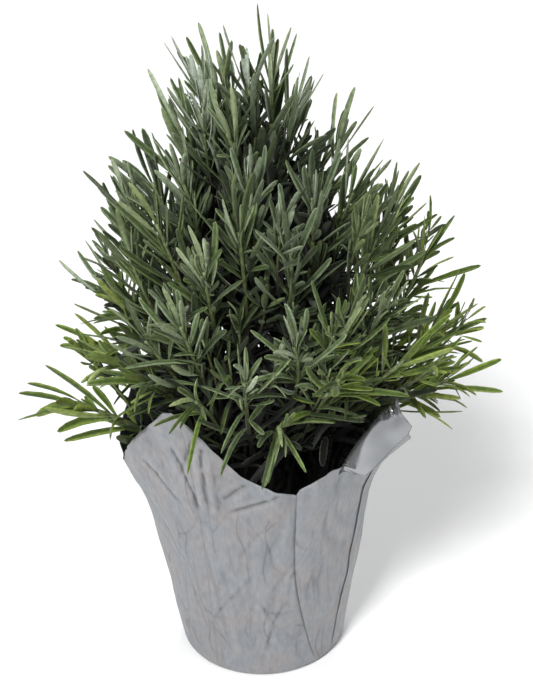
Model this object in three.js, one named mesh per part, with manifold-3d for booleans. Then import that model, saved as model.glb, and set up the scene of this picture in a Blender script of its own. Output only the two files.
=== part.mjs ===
// Potted lavender: a bushy young lavender, without flowers, in a black nursery pot that stands in a
// crinkled silver pot cover. Millimetres, +Z up. The origin is the middle of the cover's flat
// underside. The front, where the cover's rim dips lowest, faces -Y.
import * as THREE from "three";
import { mergeVertices } from "three/addons/utils/BufferGeometryUtils.js";
import Module from "manifold-3d";

// ---- Driving dimensions ----

// pot cover, a square sheet pressed into a cup with its four corners standing up
const coverBaseRadius = 55;
const coverEdgeRadius = 6;
const coverThickness = 1;
const coverWallTilt = 8.8;
const coverColumns = 48;
const coverWallRings = 6;
const coverCrinkle = 0.6;
const cornerBluntness = 0.12;
const pleatRunOut = 60;

// nursery pot
const potBaseRadius = 46.5;
const potTopRadius = 70.5;
const potLipRadius = 73;
const potLipHeight = 10;
const potHeight = 142;
const potWall = 1.5;
const drainHoleRadius = 5;
const drainHoleCircle = 38;
const drainHoleCount = 5;
const roundSegments = 32;
const drainHoleSides = 10;

// potting soil
const soilTop = 128;
const soilUnevenness = 2;
const soilEdgeDrop = 3;
const soilRings = [55, 28];
const soilColumns = 28;
const stemDepthInSoil = 12;

// plant
const stemRootRadius = 1.9;
const stemTipRadius = 1.2;
const stemTaperLength = 250;
const rootSpread = 50;
const rootCore = 0.22;
const widestLean = 0.9;
const footRise = 0.4;
const tipHandle = 45;
const leafHalfWidth = 2.3;
const leafThickness = 0.8;
const leafLengths = [34, 41, 47, 50, 52];
const leafTilts = [4, 20, 31, 41, 50];
const leafNodes = [0, 10, 25, 44, 68];
const leafFootHeight = 2.6;
const leafCurl = 0.1;
const leafDroop = 0.02;

// clear space between neighbouring solids
const restGap = 0.3;
const holeGap = 0.4;
const leafClearance = 4.5;
const stemClearance = 4.2;
const homeClearance = 3.2;

// The rim, from the front round by the right: each dip is followed by a corner. Azimuth is in
// degrees from the front, positive to the right; height and radius are the rim's own, flareFrom is
// the height where the wall starts to lean out, and bow rounds the rim's turn at a dip.
const rimPoints = [
  { azimuth: -84, height: 147, radius: 85, flareFrom: 90, bow: 0.3 },
  { azimuth: -30, height: 218, radius: 93, flareFrom: 90, bow: 0.3 },
  { azimuth: 16, height: 155, radius: 78, flareFrom: 90, bow: 0.5 },
  { azimuth: 45, height: 218, radius: 107, flareFrom: 115, bow: 0.4 },
  { azimuth: 92, height: 152, radius: 95, flareFrom: 112, bow: 0.2 },
  { azimuth: 135, height: 206, radius: 103, flareFrom: 100, bow: 0.3 },
  { azimuth: 180, height: 153, radius: 84, flareFrom: 90, bow: 0.3 },
  { azimuth: 222, height: 186, radius: 93, flareFrom: 90, bow: 0.3 },
];

// Folded pleats that take up the sheet's spare width: the wall steps out by depth at the azimuth
// and runs back to the round over the width. The first is the long seam by the front dip.
const pleats = [
  { azimuth: 17, depth: 2.6, width: 34 },
  { azimuth: 58, depth: 2.2, width: 26 },
  { azimuth: 104, depth: 2.4, width: 30 },
  { azimuth: 152, depth: 2.0, width: 28 },
  { azimuth: 196, depth: 2.4, width: 32 },
  { azimuth: 243, depth: 2.2, width: 28 },
  { azimuth: 290, depth: 2.2, width: 24 },
  { azimuth: 332, depth: 1.6, width: 20 },
];

// Shoots of the front and of the outline. tip is the end of the stem, aim the way it points there.
// droop bends its leaves down, turn sets the azimuth of its first pair of leaves, and fresh marks the
// brighter green growth low on the plant.
const shoots = [
  { tip: [18, 0, 393], aim: [0.05, 0, 1] },
  { tip: [4, -10, 388], aim: [-0.2, -0.1, 1] },
  { tip: [-14, 12, 380], aim: [-0.15, 0.15, 1] },
  { tip: [-24, -14, 388], aim: [-0.45, -0.1, 1] },
  { tip: [-38, 0, 362], aim: [-0.4, 0, 1] },
  { tip: [-8, -32, 365], aim: [-0.35, -0.3, 1] },
  { tip: [31, 0, 368], aim: [0.35, 0, 1] },
  { tip: [-36, -30, 340], aim: [-0.35, -0.3, 1] },
  { tip: [56, 5, 344], aim: [0.2, 0.05, 1] },
  { tip: [4, -46, 338], aim: [0.05, -0.2, 1] },
  { tip: [38, -36, 326], aim: [-0.15, -0.25, 1] },
  { tip: [63, -10, 318], aim: [0.45, -0.1, 1] },
  { tip: [-68, 0, 312], aim: [-0.2, 0, 1] },
  { tip: [24, -70, 308], aim: [-0.1, -0.35, 1] },
  { tip: [74, -40, 302], aim: [0.3, -0.2, 1] },
  { tip: [-68, -30, 294], aim: [-0.15, -0.2, 1] },
  { tip: [-24, -65, 296], aim: [-0.05, -0.3, 1] },
  { tip: [89, 20, 292], aim: [0.25, 0.1, 1] },
  { tip: [-50, -46, 318], aim: [-0.3, -0.25, 1] },
  { tip: [-4, -62, 318], aim: [-0.1, -0.3, 1] },
  { tip: [107, 10, 270], aim: [0.2, 0.05, 1], fresh: true },
  { tip: [-38, -80, 270], aim: [-0.2, -0.4, 1] },
  { tip: [54, -84, 268], aim: [0.2, -0.35, 1] },
  { tip: [24, -94, 262], aim: [-0.25, -0.5, 1] },
  { tip: [76, -60, 266], aim: [0.35, -0.35, 1] },
  { tip: [48, -104, 246], aim: [0.1, -0.8, 0.7], droop: 0.15, fresh: true },
  { tip: [-60, -60, 252], aim: [-0.55, -0.4, 1] },
  { tip: [-78, 0, 250], aim: [-0.5, 0, 1], fresh: true },
  { tip: [90, -76, 244], aim: [0.8, -0.45, 0.9], fresh: true },
  { tip: [-4, -100, 244], aim: [0, -0.6, 0.9], droop: 0.1 },
  { tip: [-32, -90, 228], aim: [-0.25, -0.7, 0.6], droop: 0.2 },
  { tip: [115, -10, 234], aim: [0.5, -0.1, 1], fresh: true },
  { tip: [-82, -22, 219], aim: [-0.9, -0.2, 0.6], droop: 0.08, fresh: true },
  { tip: [16, -88, 206], aim: [0.1, -0.9, 0.3], droop: 0.3 },
  { tip: [-110, -30, 197], aim: [-1, -0.2, 0.5], droop: 0.06, turn: 80, fresh: true },
  { tip: [119, -20, 197], aim: [1, -0.15, 0.45], droop: 0.04, turn: 80, fresh: true },
  { tip: [96, -6, 184], aim: [0.9, 0.1, 0.3], droop: 0.1, fresh: true },
  { tip: [-64, -62, 228], aim: [-0.7, -0.7, 0.6], droop: 0.12, fresh: true },
];

// Tiers of shoots round the back, which rise in a cone as those of the front do
const backTiers = [
  { height: 206, reach: 102, count: 4, rise: 0.6, fresh: true },
  { height: 246, reach: 88, count: 4, rise: 1.2 },
  { height: 286, reach: 76, count: 4, rise: 1.8 },
  { height: 324, reach: 58, count: 3, rise: 2.4 },
  { height: 356, reach: 38, count: 2, rise: 3 },
  { height: 376, reach: 22, count: 1, rise: 5 },
];
const backStart = 82;
const backSweep = 196;

// ---- Solids ----

const wasm = await Module();
wasm.setup();

const vector = (x, y, z) => new THREE.Vector3(x, y, z);
const radians = THREE.MathUtils.degToRad;

// A point at a radius and height, at an azimuth in degrees from the front
function polar(radius, azimuth, height) {
  return vector(radius * Math.sin(radians(azimuth)), -radius * Math.cos(radians(azimuth)), height);
}

// A closed skin through rings of points, each right-handed about the way of travel. A ring of one
// point closes that end to a tip.
function loft(rings) {
  const positions = rings.flat().flatMap((point) => point.toArray());
  const starts = [];
  let total = 0;
  for (const ring of rings) {
    starts.push(total);
    total += ring.length;
  }
  const triangles = [];
  for (let level = 0; level + 1 < rings.length; level += 1) {
    const [lower, upper] = [rings[level].length, rings[level + 1].length];
    for (let side = 0; side < Math.max(lower, upper); side += 1) {
      const a = starts[level] + (side % lower);
      const b = starts[level] + ((side + 1) % lower);
      const c = starts[level + 1] + ((side + 1) % upper);
      const d = starts[level + 1] + (side % upper);
      if (a !== b) triangles.push(a, b, c);
      if (c !== d) triangles.push(a, c, d);
    }
  }
  const last = starts[rings.length - 1];
  for (let side = 1; side + 1 < rings[0].length; side += 1) triangles.push(0, side + 1, side);
  for (let side = 1; side + 1 < rings.at(-1).length; side += 1) {
    triangles.push(last, last + side, last + side + 1);
  }
  const geometry = new THREE.BufferGeometry();
  geometry.setAttribute("position", new THREE.Float32BufferAttribute(positions, 3));
  geometry.setIndex(triangles);
  return geometry;
}

// Points nearer than this are one point
const weldDistance = 0.001;

function toSolid(geometry) {
  const bare = geometry.clone();
  bare.deleteAttribute("normal");
  bare.deleteAttribute("uv");
  const merged = mergeVertices(bare, weldDistance);
  const vertProperties = new Float32Array(merged.attributes.position.array);
  const triVerts = new Uint32Array(merged.index.array);
  return new wasm.Manifold(new wasm.Mesh({ numProp: 3, vertProperties, triVerts }));
}

function toGeometry(solid) {
  const mesh = solid.getMesh();
  const geometry = new THREE.BufferGeometry();
  geometry.setAttribute("position", new THREE.BufferAttribute(mesh.vertProperties, 3));
  geometry.setIndex(new THREE.BufferAttribute(mesh.triVerts, 1));
  geometry.computeVertexNormals();
  return geometry;
}

function toMesh(name, solid, material) {
  const mesh = new THREE.Mesh(toGeometry(solid), material);
  mesh.name = name;
  return mesh;
}

// A repeatable draw between 0 and 1, exact in double precision
function drawFrom(seed) {
  let state = seed;
  return () => {
    state = (state * 1664525 + 1013904223) % 4294967296;
    return state / 4294967296;
  };
}

// ---- Materials ----

function finish(color, roughness, metalness) {
  return new THREE.MeshStandardMaterial({ color, roughness, metalness });
}

const silverFilm = finish("#a3a3a7", 0.45, 0.3);
const blackPlastic = finish("#1c1c1e", 0.6, 0);
const peat = finish("#2e211a", 0.95, 0);
const greyGreenLeaf = finish("#6f8468", 0.8, 0);
const freshGreenLeaf = finish("#6d9438", 0.75, 0);

// ---- Pot cover ----

const wallSlope = Math.tan(radians(coverWallTilt));
const wallFoot = coverEdgeRadius * (1 - Math.sin(radians(coverWallTilt)));
const plainWallRadius = (height) => coverBaseRadius + wallSlope * (height - wallFoot);

// A flank runs nearly straight and turns round at its foot: a hyperbola of the given bow
const rounded = (share, bow) => (Math.hypot(share, bow) - bow) / (Math.hypot(1, bow) - bow);

// The rim at an azimuth: how high and how wide the sheet's edge stands there
function rimAt(azimuth) {
  const first = rimPoints[0].azimuth;
  const turned = (((azimuth - first) % 360) + 360) % 360;
  let index = rimPoints.length - 1;
  while (rimPoints[index].azimuth - first > turned) index -= 1;
  const from = rimPoints[index];
  const to = rimPoints[(index + 1) % rimPoints.length];
  const span = (to.azimuth - from.azimuth + 360) % 360;
  const share = (turned - (from.azimuth - first)) / span;
  const rising = to.height > from.height;
  const [dip, corner] = rising ? [from, to] : [to, from];
  const climb = rising ? share : 1 - share;
  const blunt = 1 - rounded(1 - climb, cornerBluntness);
  const height = dip.height + (corner.height - dip.height) * rounded(blunt, dip.bow);
  const radius = dip.radius + (corner.radius - dip.radius) * blunt;
  const flareFrom = dip.flareFrom + (corner.flareFrom - dip.flareFrom) * blunt;
  return { height, radius, flareFrom };
}

// How far the pleats push the wall out at an azimuth, once they are full at pleatRunOut
function pleatAt(azimuth) {
  let push = 0;
  for (const pleat of pleats) {
    const behind = (((azimuth - pleat.azimuth) % 360) + 360) % 360;
    if (behind < pleat.width) push += pleat.depth * (1 - behind / pleat.width);
  }
  return push;
}

// The wall's radius at an azimuth and height: straight and tilted, then flared out to the rim
function wallRadius(azimuth, height) {
  const rim = rimAt(azimuth);
  const flare = rim.radius - plainWallRadius(rim.height);
  const rise = Math.max(0, height - rim.flareFrom) / (rim.height - rim.flareFrom);
  const pleatGrowth = Math.min(1, Math.max(0, height - wallFoot) / pleatRunOut);
  return plainWallRadius(height) + flare * rise * rise + pleatAt(azimuth) * pleatGrowth;
}

function makeCover() {
  const draw = drawFrom(11);
  const azimuths = Array.from({ length: coverColumns }, (_, column) => (column * 360) / coverColumns);
  const outer = [[vector(0, 0, 0)]];
  const inner = [[vector(0, 0, coverThickness)]];
  const flatRadius = coverBaseRadius - coverEdgeRadius;
  for (const turn of [0, 40]) {
    const radius = flatRadius + coverEdgeRadius * Math.sin(radians(turn));
    const height = coverEdgeRadius * (1 - Math.cos(radians(turn)));
    const inset = coverThickness * Math.sin(radians(turn));
    const lift = coverThickness * Math.cos(radians(turn));
    outer.push(azimuths.map((azimuth) => polar(radius, azimuth, height)));
    inner.push(azimuths.map((azimuth) => polar(radius - inset, azimuth, height + lift)));
  }
  for (let level = 0; level <= coverWallRings; level += 1) {
    const share = level / coverWallRings;
    const outerRing = [];
    const innerRing = [];
    for (const azimuth of azimuths) {
      const rim = rimAt(azimuth);
      const height = wallFoot + (rim.height - wallFoot) * share;
      const dent = level > 0 && level < coverWallRings ? coverCrinkle * (2 * draw() - 1) : 0;
      const radius = wallRadius(azimuth, height) + dent;
      const tilt = Math.atan(wallRadius(azimuth, height) - wallRadius(azimuth, height - 1));
      const inset = coverThickness * Math.cos(tilt);
      const lift = coverThickness * Math.sin(tilt);
      outerRing.push(polar(radius, azimuth, height));
      innerRing.push(polar(radius - inset, azimuth, height + lift));
    }
    outer.push(outerRing);
    inner.push(innerRing);
  }
  return toSolid(loft([...outer, ...inner.reverse()]));
}

// ---- Nursery pot ----

const potFloor = coverThickness + restGap;
const potLipFoot = potFloor + potHeight - potLipHeight;
const potTaper = (potTopRadius - potBaseRadius) / (potLipFoot - potFloor);
const potInside = (height) => potBaseRadius + potTaper * (height - potFloor) - potWall;

function lathe(profile, segments) {
  const points = profile.map(([radius, height]) => new THREE.Vector2(radius, height));
  const geometry = new THREE.LatheGeometry(points, segments);
  geometry.rotateX(Math.PI / 2);
  return toSolid(geometry);
}

function makePot() {
  const top = potFloor + potHeight;
  let pot = lathe(
    [
      [0, potFloor],
      [potBaseRadius, potFloor],
      [potTopRadius, potLipFoot],
      [potLipRadius, potLipFoot],
      [potLipRadius, top],
      [potLipRadius - potWall, top],
      [potLipRadius - potWall, potLipFoot + potWall],
      [potInside(potLipFoot), potLipFoot],
      [potInside(potFloor + potWall), potFloor + potWall],
      [0, potFloor + potWall],
    ],
    roundSegments,
  );
  for (let index = 0; index < drainHoleCount; index += 1) {
    const drill = new THREE.CylinderGeometry(drainHoleRadius, drainHoleRadius, 4 * potWall, drainHoleSides);
    const centre = polar(drainHoleCircle, (index * 360) / drainHoleCount, potFloor);
    drill.rotateX(Math.PI / 2);
    drill.translate(centre.x, centre.y, centre.z);
    pot = pot.subtract(toSolid(drill));
  }
  return pot;
}

// ---- Stems ----

// Each stem is followed as a chain of points from its foot in the soil to its tip
const pathSteps = 48;

function stemPath(foot, shoot) {
  const tip = vector(...shoot.tip);
  const aim = vector(...shoot.aim).normalize();
  const reach = foot.distanceTo(tip);
  const curve = new THREE.CubicBezierCurve3(
    foot,
    vector(foot.x, foot.y, foot.z + footRise * reach),
    tip.clone().addScaledVector(aim, -tipHandle),
    tip,
  );
  return Array.from({ length: pathSteps + 1 }, (_, step) => curve.getPoint(step / pathSteps));
}

// The point and direction on a chain, at a distance back from its last point
function backFromTip(path, distance) {
  let left = distance;
  for (let step = path.length - 1; step > 0; step -= 1) {
    const piece = path[step].distanceTo(path[step - 1]);
    if (left <= piece || step === 1) {
      const point = path[step].clone().lerp(path[step - 1], left / piece);
      return { point, along: path[step].clone().sub(path[step - 1]).normalize() };
    }
    left -= piece;
  }
}

// The two directions square to a stem from which azimuths round it are counted
function across(along) {
  const right = vector(0, 1, 0).cross(along).normalize();
  return [right, along.clone().cross(right)];
}

function backShoots() {
  const draw = drawFrom(5);
  const list = [];
  backTiers.forEach((tier, level) => {
    for (let index = 0; index < tier.count; index += 1) {
      const stagger = level % 2 === 0 ? 0.4 : 0.6;
      const share = (index + stagger) / tier.count;
      const azimuth = backStart + backSweep * share + 10 * (draw() - 0.5);
      const reach = tier.reach + 10 * (draw() - 0.5);
      const tip = polar(reach, azimuth, tier.height + 14 * (draw() - 0.5));
      const aim = polar(1, azimuth, tier.rise);
      list.push({ tip: tip.toArray(), aim: aim.toArray(), fresh: tier.fresh });
    }
  });
  return list;
}

// Beads are points along a piece of the plant, by which pieces are kept clear of each other
const beads = [];
const crowded = (points, gap, owner) =>
  points.some((point) =>
    beads.some((bead) => bead.owner !== owner && bead.point.distanceToSquared(point) < gap * gap),
  );

// How near a point comes to the cover's wall, taken down the wall's section at its azimuth
const sectionSteps = 24;
const sectionStep = 4;
function coverDistance(point) {
  const azimuth = THREE.MathUtils.radToDeg(Math.atan2(point.x, -point.y));
  const radius = Math.hypot(point.x, point.y);
  const rim = rimAt(azimuth);
  let nearest = Infinity;
  for (let step = 0; step <= sectionSteps; step += 1) {
    const height = rim.height - sectionStep * step;
    const gap = Math.hypot(radius - wallRadius(azimuth, height), point.z - height);
    nearest = Math.min(nearest, gap);
  }
  return nearest;
}

// Feet stand further out the more a stem leans, and swing aside where a stem is already near
const footInsets = [1, 0.85, 0.7];
const footSwings = [0, 9, -9, 18, -18, 27, -27, 36, -36, 45, -45, 54, -54, 63, -63];
function plantStem(shoot, owner) {
  const [x, y, z] = shoot.tip;
  const lean = Math.atan2(Math.hypot(x, y), z - soilTop);
  const azimuth = THREE.MathUtils.radToDeg(Math.atan2(x, -y));
  for (const inset of footInsets) {
    for (const swing of footSwings) {
      const radius = inset * rootSpread * (rootCore + (1 - rootCore) * Math.min(1, lean / widestLean));
      const foot = polar(radius, azimuth + swing, soilTop - stemDepthInSoil);
      const path = stemPath(foot, shoot);
      const hitsCover = path.some((point) => coverDistance(point) < stemClearance);
      if (!hitsCover && !crowded(path, stemClearance, owner)) return path;
    }
  }
  return null;
}

// The shares of its length, back from the tip, at which a stem's bare part has a ring of corners
const stemShares = [1, 0.8, 0.55];

// The azimuth round the stem at which a shoot's first pair of leaves stands
const firstPair = (owner) => allShoots[owner].turn ?? 360 * drawFrom(1000 + 37 * owner)();

// The four corners of a square stem, as the mint family has, at a distance back from its tip. Leaves
// stand on the flat sides between them.
function stemRing(path, owner, distance, extra = 0) {
  const { point, along } = backFromTip(path, distance);
  const [right, forward] = across(along);
  const share = Math.min(1, distance / stemTaperLength);
  const radius = extra + stemTipRadius + (stemRootRadius - stemTipRadius) * share;
  return [45, 135, 225, 315].map((corner) => {
    const turn = radians(firstPair(owner) + corner);
    return point
      .clone()
      .addScaledVector(right, radius * Math.cos(turn))
      .addScaledVector(forward, radius * Math.sin(turn));
  });
}

function pathLength(path) {
  return path.slice(1).reduce((sum, point, step) => sum + point.distanceTo(path[step]), 0);
}

// ---- Leaves ----

// A leaf's middle line: straight from the stem, bent towards the stem's own direction and down
function leafLine(leaf, share) {
  return leaf.root
    .clone()
    .addScaledVector(leaf.direction, leaf.length * share)
    .addScaledVector(leaf.inward, leaf.length * leaf.curl * share * share)
    .add(vector(0, 0, -leaf.length * leaf.droop * share * share));
}

function makeLeaf(path, shoot, distance, azimuth, tilt, length) {
  const { point, along } = backFromTip(path, distance);
  const [right, forward] = across(along);
  const turn = radians(azimuth);
  const out = right.multiplyScalar(Math.cos(turn)).addScaledVector(forward, Math.sin(turn));
  const lean = radians(tilt);
  const direction = along.clone().multiplyScalar(Math.cos(lean)).addScaledVector(out, Math.sin(lean));
  const inward = along.clone().multiplyScalar(Math.sin(lean)).addScaledVector(out, -Math.cos(lean));
  const side = along.clone().cross(out);
  const root = point.addScaledVector(out, distance > 0 ? stemTipRadius * Math.SQRT1_2 : 0);
  return { root, direction, inward, side, length, curl: leafCurl, droop: shoot.droop ?? leafDroop };
}

const leafBeads = 12;
const footBeads = 4;
function leafPoints(leaf) {
  return Array.from({ length: leafBeads }, (_, bead) => leafLine(leaf, (bead + 1) / leafBeads));
}

// The share of the leaf's length and of its width at each ring of its outline
const leafOutline = [
  [0.34, 1],
  [0.88, 0.84],
];

// The rings of a blade from its foot to its point. Each has a wide lower face and, the edges being
// rolled under, a narrower upper one.
function leafRings(leaf) {
  const rings = leafOutline.map(([share, width]) => {
    const half = leafHalfWidth * width;
    const corners = [
      [-half, -0.5],
      [half, -0.5],
      [0.75 * half, 0.5],
      [-0.75 * half, 0.5],
    ];
    return corners.map(([aside, up]) =>
      leafLine(leaf, share)
        .addScaledVector(leaf.side, aside)
        .addScaledVector(leaf.inward, up * leafThickness),
    );
  });
  return [...rings, [leafLine(leaf, 1)]];
}

// Leaves stand in pairs, each pair square to the one above, with one more at the tip. A leaf that
// would touch a neighbour swings aside, stands closer or grows shorter, and else is left out.
const leafChoices = [
  [0, 1, 1],
  [14, 1, 1],
  [-14, 1, 1],
  [0, 0.7, 1],
  [26, 1, 1],
  [-26, 1, 1],
  [0, 1.25, 1],
  [18, 0.7, 0.85],
  [-18, 0.7, 0.85],
  [0, 1, 0.7],
];

function growLeaves(path, shoot, owner) {
  const draw = drawFrom(2000 + 37 * owner);
  const leaves = [];
  leafNodes.forEach((distance, level) => {
    for (const opposite of level === 0 ? [0] : [0, 2]) {
      const face = (level + opposite) % 4;
      const azimuth = firstPair(owner) + 90 * face + 14 * (draw() - 0.5);
      const tilt = leafTilts[level] * (0.85 + 0.3 * draw());
      const length = leafLengths[level] * (0.88 + 0.24 * draw());
      for (const [swing, lean, share] of leafChoices) {
        const leaf = makeLeaf(path, shoot, distance, azimuth + swing, tilt * lean, length * share);
        const points = leafPoints(leaf);
        const outer = points.slice(footBeads);
        const touches =
          crowded(points, leafClearance, owner) ||
          crowdedAtHome(outer, leaves) ||
          points.some((point) => coverDistance(point) < leafClearance);
        if (touches) continue;
        leaves.push({ ...leaf, level, face, outer });
        points.forEach((bead) => beads.push({ point: bead, owner }));
        break;
      }
    }
  });
  return leaves;
}

// Leaves of one stem keep clear of each other past their feet
function crowdedAtHome(points, leaves) {
  const near = (point) =>
    leaves.some((leaf) => leaf.outer.some((other) => other.distanceTo(point) < homeClearance));
  return points.some(near);
}

// One skin over a stem and its leaves: the stem's corners run up in rings, and between the two
// rings of a leaf's foot the flat side grows out into the blade.
function leafyStemSolid(path, owner, leaves) {
  const points = [];
  const triangles = [];
  const add = (ring) => ring.map((point) => points.push(point) - 1);
  const quad = (a, b, c, d) => triangles.push(a, b, c, a, c, d);
  const grow = (foot, leaf) => {
    let ring = foot;
    for (const next of leafRings(leaf)) {
      const ids = add(next);
      for (let side = 0; side < 4; side += 1) {
        const after = (side + 1) % 4;
        if (ids.length === 1) triangles.push(ring[side], ring[after], ids[0]);
        else quad(ring[side], ring[after], ids[after], ids[side]);
      }
      ring = ids;
    }
  };

  const length = pathLength(path);
  const levels = [4, 3, 2, 1].filter((level) => leaves.some((leaf) => leaf.level === level));
  const bare = stemShares.map((share) => ({ distance: length * share, leaves: [] }));
  const leafy = levels.flatMap((level) => {
    const pair = leaves.filter((leaf) => leaf.level === level);
    return [
      { distance: leafNodes[level] + leafFootHeight / 2, leaves: [] },
      { distance: leafNodes[level] - leafFootHeight / 2, leaves: pair },
    ];
  });
  const stations = [...bare, ...leafy, { distance: 0, leaves: [] }];
  let lower = add(stemRing(path, owner, stations[0].distance));
  quad(lower[0], lower[3], lower[2], lower[1]);
  for (const station of stations.slice(1)) {
    const upper = add(stemRing(path, owner, station.distance));
    for (let face = 0; face < 4; face += 1) {
      const before = (face + 3) % 4;
      const foot = [lower[before], lower[face], upper[face], upper[before]];
      const leaf = station.leaves.find((one) => one.face === face);
      if (leaf) grow(foot, leaf);
      else quad(...foot);
    }
    lower = upper;
  }
  const terminal = leaves.find((leaf) => leaf.level === 0);
  if (terminal) grow([lower[3], lower[0], lower[1], lower[2]], terminal);
  else quad(...lower);
  const geometry = new THREE.BufferGeometry();
  const positions = points.flatMap((point) => point.toArray());
  geometry.setAttribute("position", new THREE.Float32BufferAttribute(positions, 3));
  geometry.setIndex(triangles);
  return toSolid(geometry);
}

// ---- Potting soil ----

function makeSoil(paths) {
  const draw = drawFrom(23);
  const ring = (radius, height, uneven) =>
    Array.from({ length: soilColumns }, (_, column) =>
      polar(radius, (column * 360) / soilColumns, height + uneven * (2 * draw() - 1)),
    );
  const bottom = potFloor + potWall + restGap;
  const edge = soilTop - soilEdgeDrop;
  const wallGap = restGap + 0.2;
  let soil = toSolid(
    loft([
      [vector(0, 0, bottom)],
      ring(potInside(bottom) - wallGap, bottom, 0),
      ring(potInside(edge) - wallGap, edge, 0),
      ...soilRings.map((radius) => ring(radius, soilTop, soilUnevenness)),
      [vector(0, 0, soilTop)],
    ]),
  );
  paths.forEach((path, owner) => {
    const length = pathLength(path);
    const along = path[1].clone().sub(path[0]).normalize();
    const [foot, neck] = [1, stemShares[1]].map((share) =>
      stemRing(path, owner, length * share, holeGap * Math.SQRT2),
    );
    foot.forEach((point) => point.addScaledVector(along, -holeGap));
    soil = soil.subtract(toSolid(loft([foot, neck])));
  });
  return soil;
}

// ---- Assembly ----

const allShoots = [...shoots, ...backShoots()];
const paths = allShoots.map((shoot, owner) => {
  const path = plantStem(shoot, owner);
  if (!path) throw new Error(`no clear foot for shoot ${owner}`);
  path.forEach((point) => beads.push({ point, owner }));
  return path;
});

const plant = new THREE.Group();
allShoots.forEach((shoot, owner) => {
  const leaves = growLeaves(paths[owner], shoot, owner);
  const number = String(owner + 1).padStart(2, "0");
  const material = shoot.fresh ? freshGreenLeaf : greyGreenLeaf;
  plant.add(toMesh(`leafy_stem_${number}`, leafyStemSolid(paths[owner], owner, leaves), material));
});

const holder = new THREE.Group();
holder.add(toMesh("pot_cover", makeCover(), silverFilm));
holder.add(toMesh("nursery_pot", makePot(), blackPlastic));
holder.add(toMesh("potting_soil", makeSoil(paths), peat));

const pottedLavender = new THREE.Group();
pottedLavender.add(holder, plant);

export default pottedLavender;
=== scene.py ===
# Potted lavender: the looks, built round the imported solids. Sizes are in millimetres until a mesh is
# made, +Z up, the front faces -Y and azimuths run from the front, positive to the right.
import math
from functools import partial

import bpy
import numpy as np
from mathutils import Matrix, Vector


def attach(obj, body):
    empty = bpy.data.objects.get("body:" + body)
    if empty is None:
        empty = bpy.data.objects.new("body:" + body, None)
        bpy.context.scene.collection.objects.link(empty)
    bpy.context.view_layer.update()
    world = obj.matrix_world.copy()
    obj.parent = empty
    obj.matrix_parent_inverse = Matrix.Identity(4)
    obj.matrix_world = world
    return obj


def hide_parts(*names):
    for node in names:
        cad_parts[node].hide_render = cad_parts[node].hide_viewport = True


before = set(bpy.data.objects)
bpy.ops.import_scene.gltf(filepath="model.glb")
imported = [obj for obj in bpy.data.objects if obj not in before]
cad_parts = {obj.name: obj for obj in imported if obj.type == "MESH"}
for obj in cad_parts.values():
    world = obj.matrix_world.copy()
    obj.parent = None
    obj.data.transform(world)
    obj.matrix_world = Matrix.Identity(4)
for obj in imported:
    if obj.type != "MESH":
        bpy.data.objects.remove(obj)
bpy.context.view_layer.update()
metresPerMm = 0.001
up = np.array([0.0, 0.0, 1.0])


# sRGB hex to linear: below 0.04045 divided by 12.92, above it ((c + 0.055) / 1.055) to the power 2.4
def colour(hexCode):
    shares = np.array([int(hexCode[i:i + 2], 16) / 255 for i in (1, 3, 5)])
    linear = np.where(shares > 0.04045, ((shares + 0.055) / 1.055) ** 2.4, shares / 12.92)
    return (*linear, 1.0)


# Fills or links a node's inputs: a hex code is a colour, and a node its first output in use
def feed(tree, node, inputs):
    for name, value in inputs.items():
        if isinstance(value, str):
            value = colour(value)
        if isinstance(value, bpy.types.Node):
            value = next(output for output in value.outputs if output.enabled)
        if isinstance(value, bpy.types.NodeSocket):
            tree.links.new(value, node.inputs[name])
        else:
            node.inputs[name].default_value = value


# Adds a node with its settings and links. stops are a colour ramp's.
def addNode(tree, kind, inputs=None, stops=None, **settings):
    node = tree.nodes.new("ShaderNode" + kind)
    for name, value in settings.items():
        setattr(node, name, value)
    feed(tree, node, inputs or {})
    if stops:
        ramp = node.color_ramp
        while len(ramp.elements) < len(stops):
            ramp.elements.new(1.0)
        for element, (place, tint) in zip(ramp.elements, stops):
            element.position = place
            element.color = colour(tint)
    return node


# A material, the functions that add its nodes and feed its shader, and its Object coordinates
def startMaterial(name, **finish):
    material = bpy.data.materials.new(name)
    material.use_nodes = True
    tree = material.node_tree
    shader = tree.nodes["Principled BSDF"]
    feed(tree, shader, {socket.replace("_", " "): value for socket, value in finish.items()})
    place = addNode(tree, "TexCoord").outputs["Object"]
    return material, partial(addNode, tree), partial(feed, tree, shader), place


def addObject(name, data):
    made = bpy.data.objects.new(name, data)
    bpy.context.scene.collection.objects.link(made)
    return made


# A repeatable row of draws between 0 and 1, the one that placed the solids
def drawFrom(seed):
    state = seed

    def draw():
        nonlocal state
        state = (state * 1664525 + 1013904223) % 4294967296
        return state / 4294967296

    return draw


def unit(vectors):
    return vectors / np.linalg.norm(vectors, axis=-1, keepdims=True)


# How far values have gone from one end to another, from 0 to 1
def gone(values, ends):
    return np.clip((values - ends[0]) / (ends[1] - ends[0]), 0, 1)


# Azimuths evenly round the axis
def around(count):
    return np.arange(count) * 360 / count


# Points at radii and heights: (radius sin azimuth, -radius cos azimuth, height)
def polar(radius, azimuth, height):
    turn = np.radians(azimuth)
    return np.stack(np.broadcast_arrays(radius * np.sin(turn), -radius * np.cos(turn), height), axis=-1)


# A number from 0 to 1 for each corner of a cubic lattice
def cornerValue(corner, seed):
    key = corner @ np.array([73856093, 19349663, 83492791]) + seed * 7919
    key = ((key ^ (key >> 13)) * 1274126177) & 0xFFFFFFFF
    return ((key >> 8) & 0xFFFF) / 65535


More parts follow.
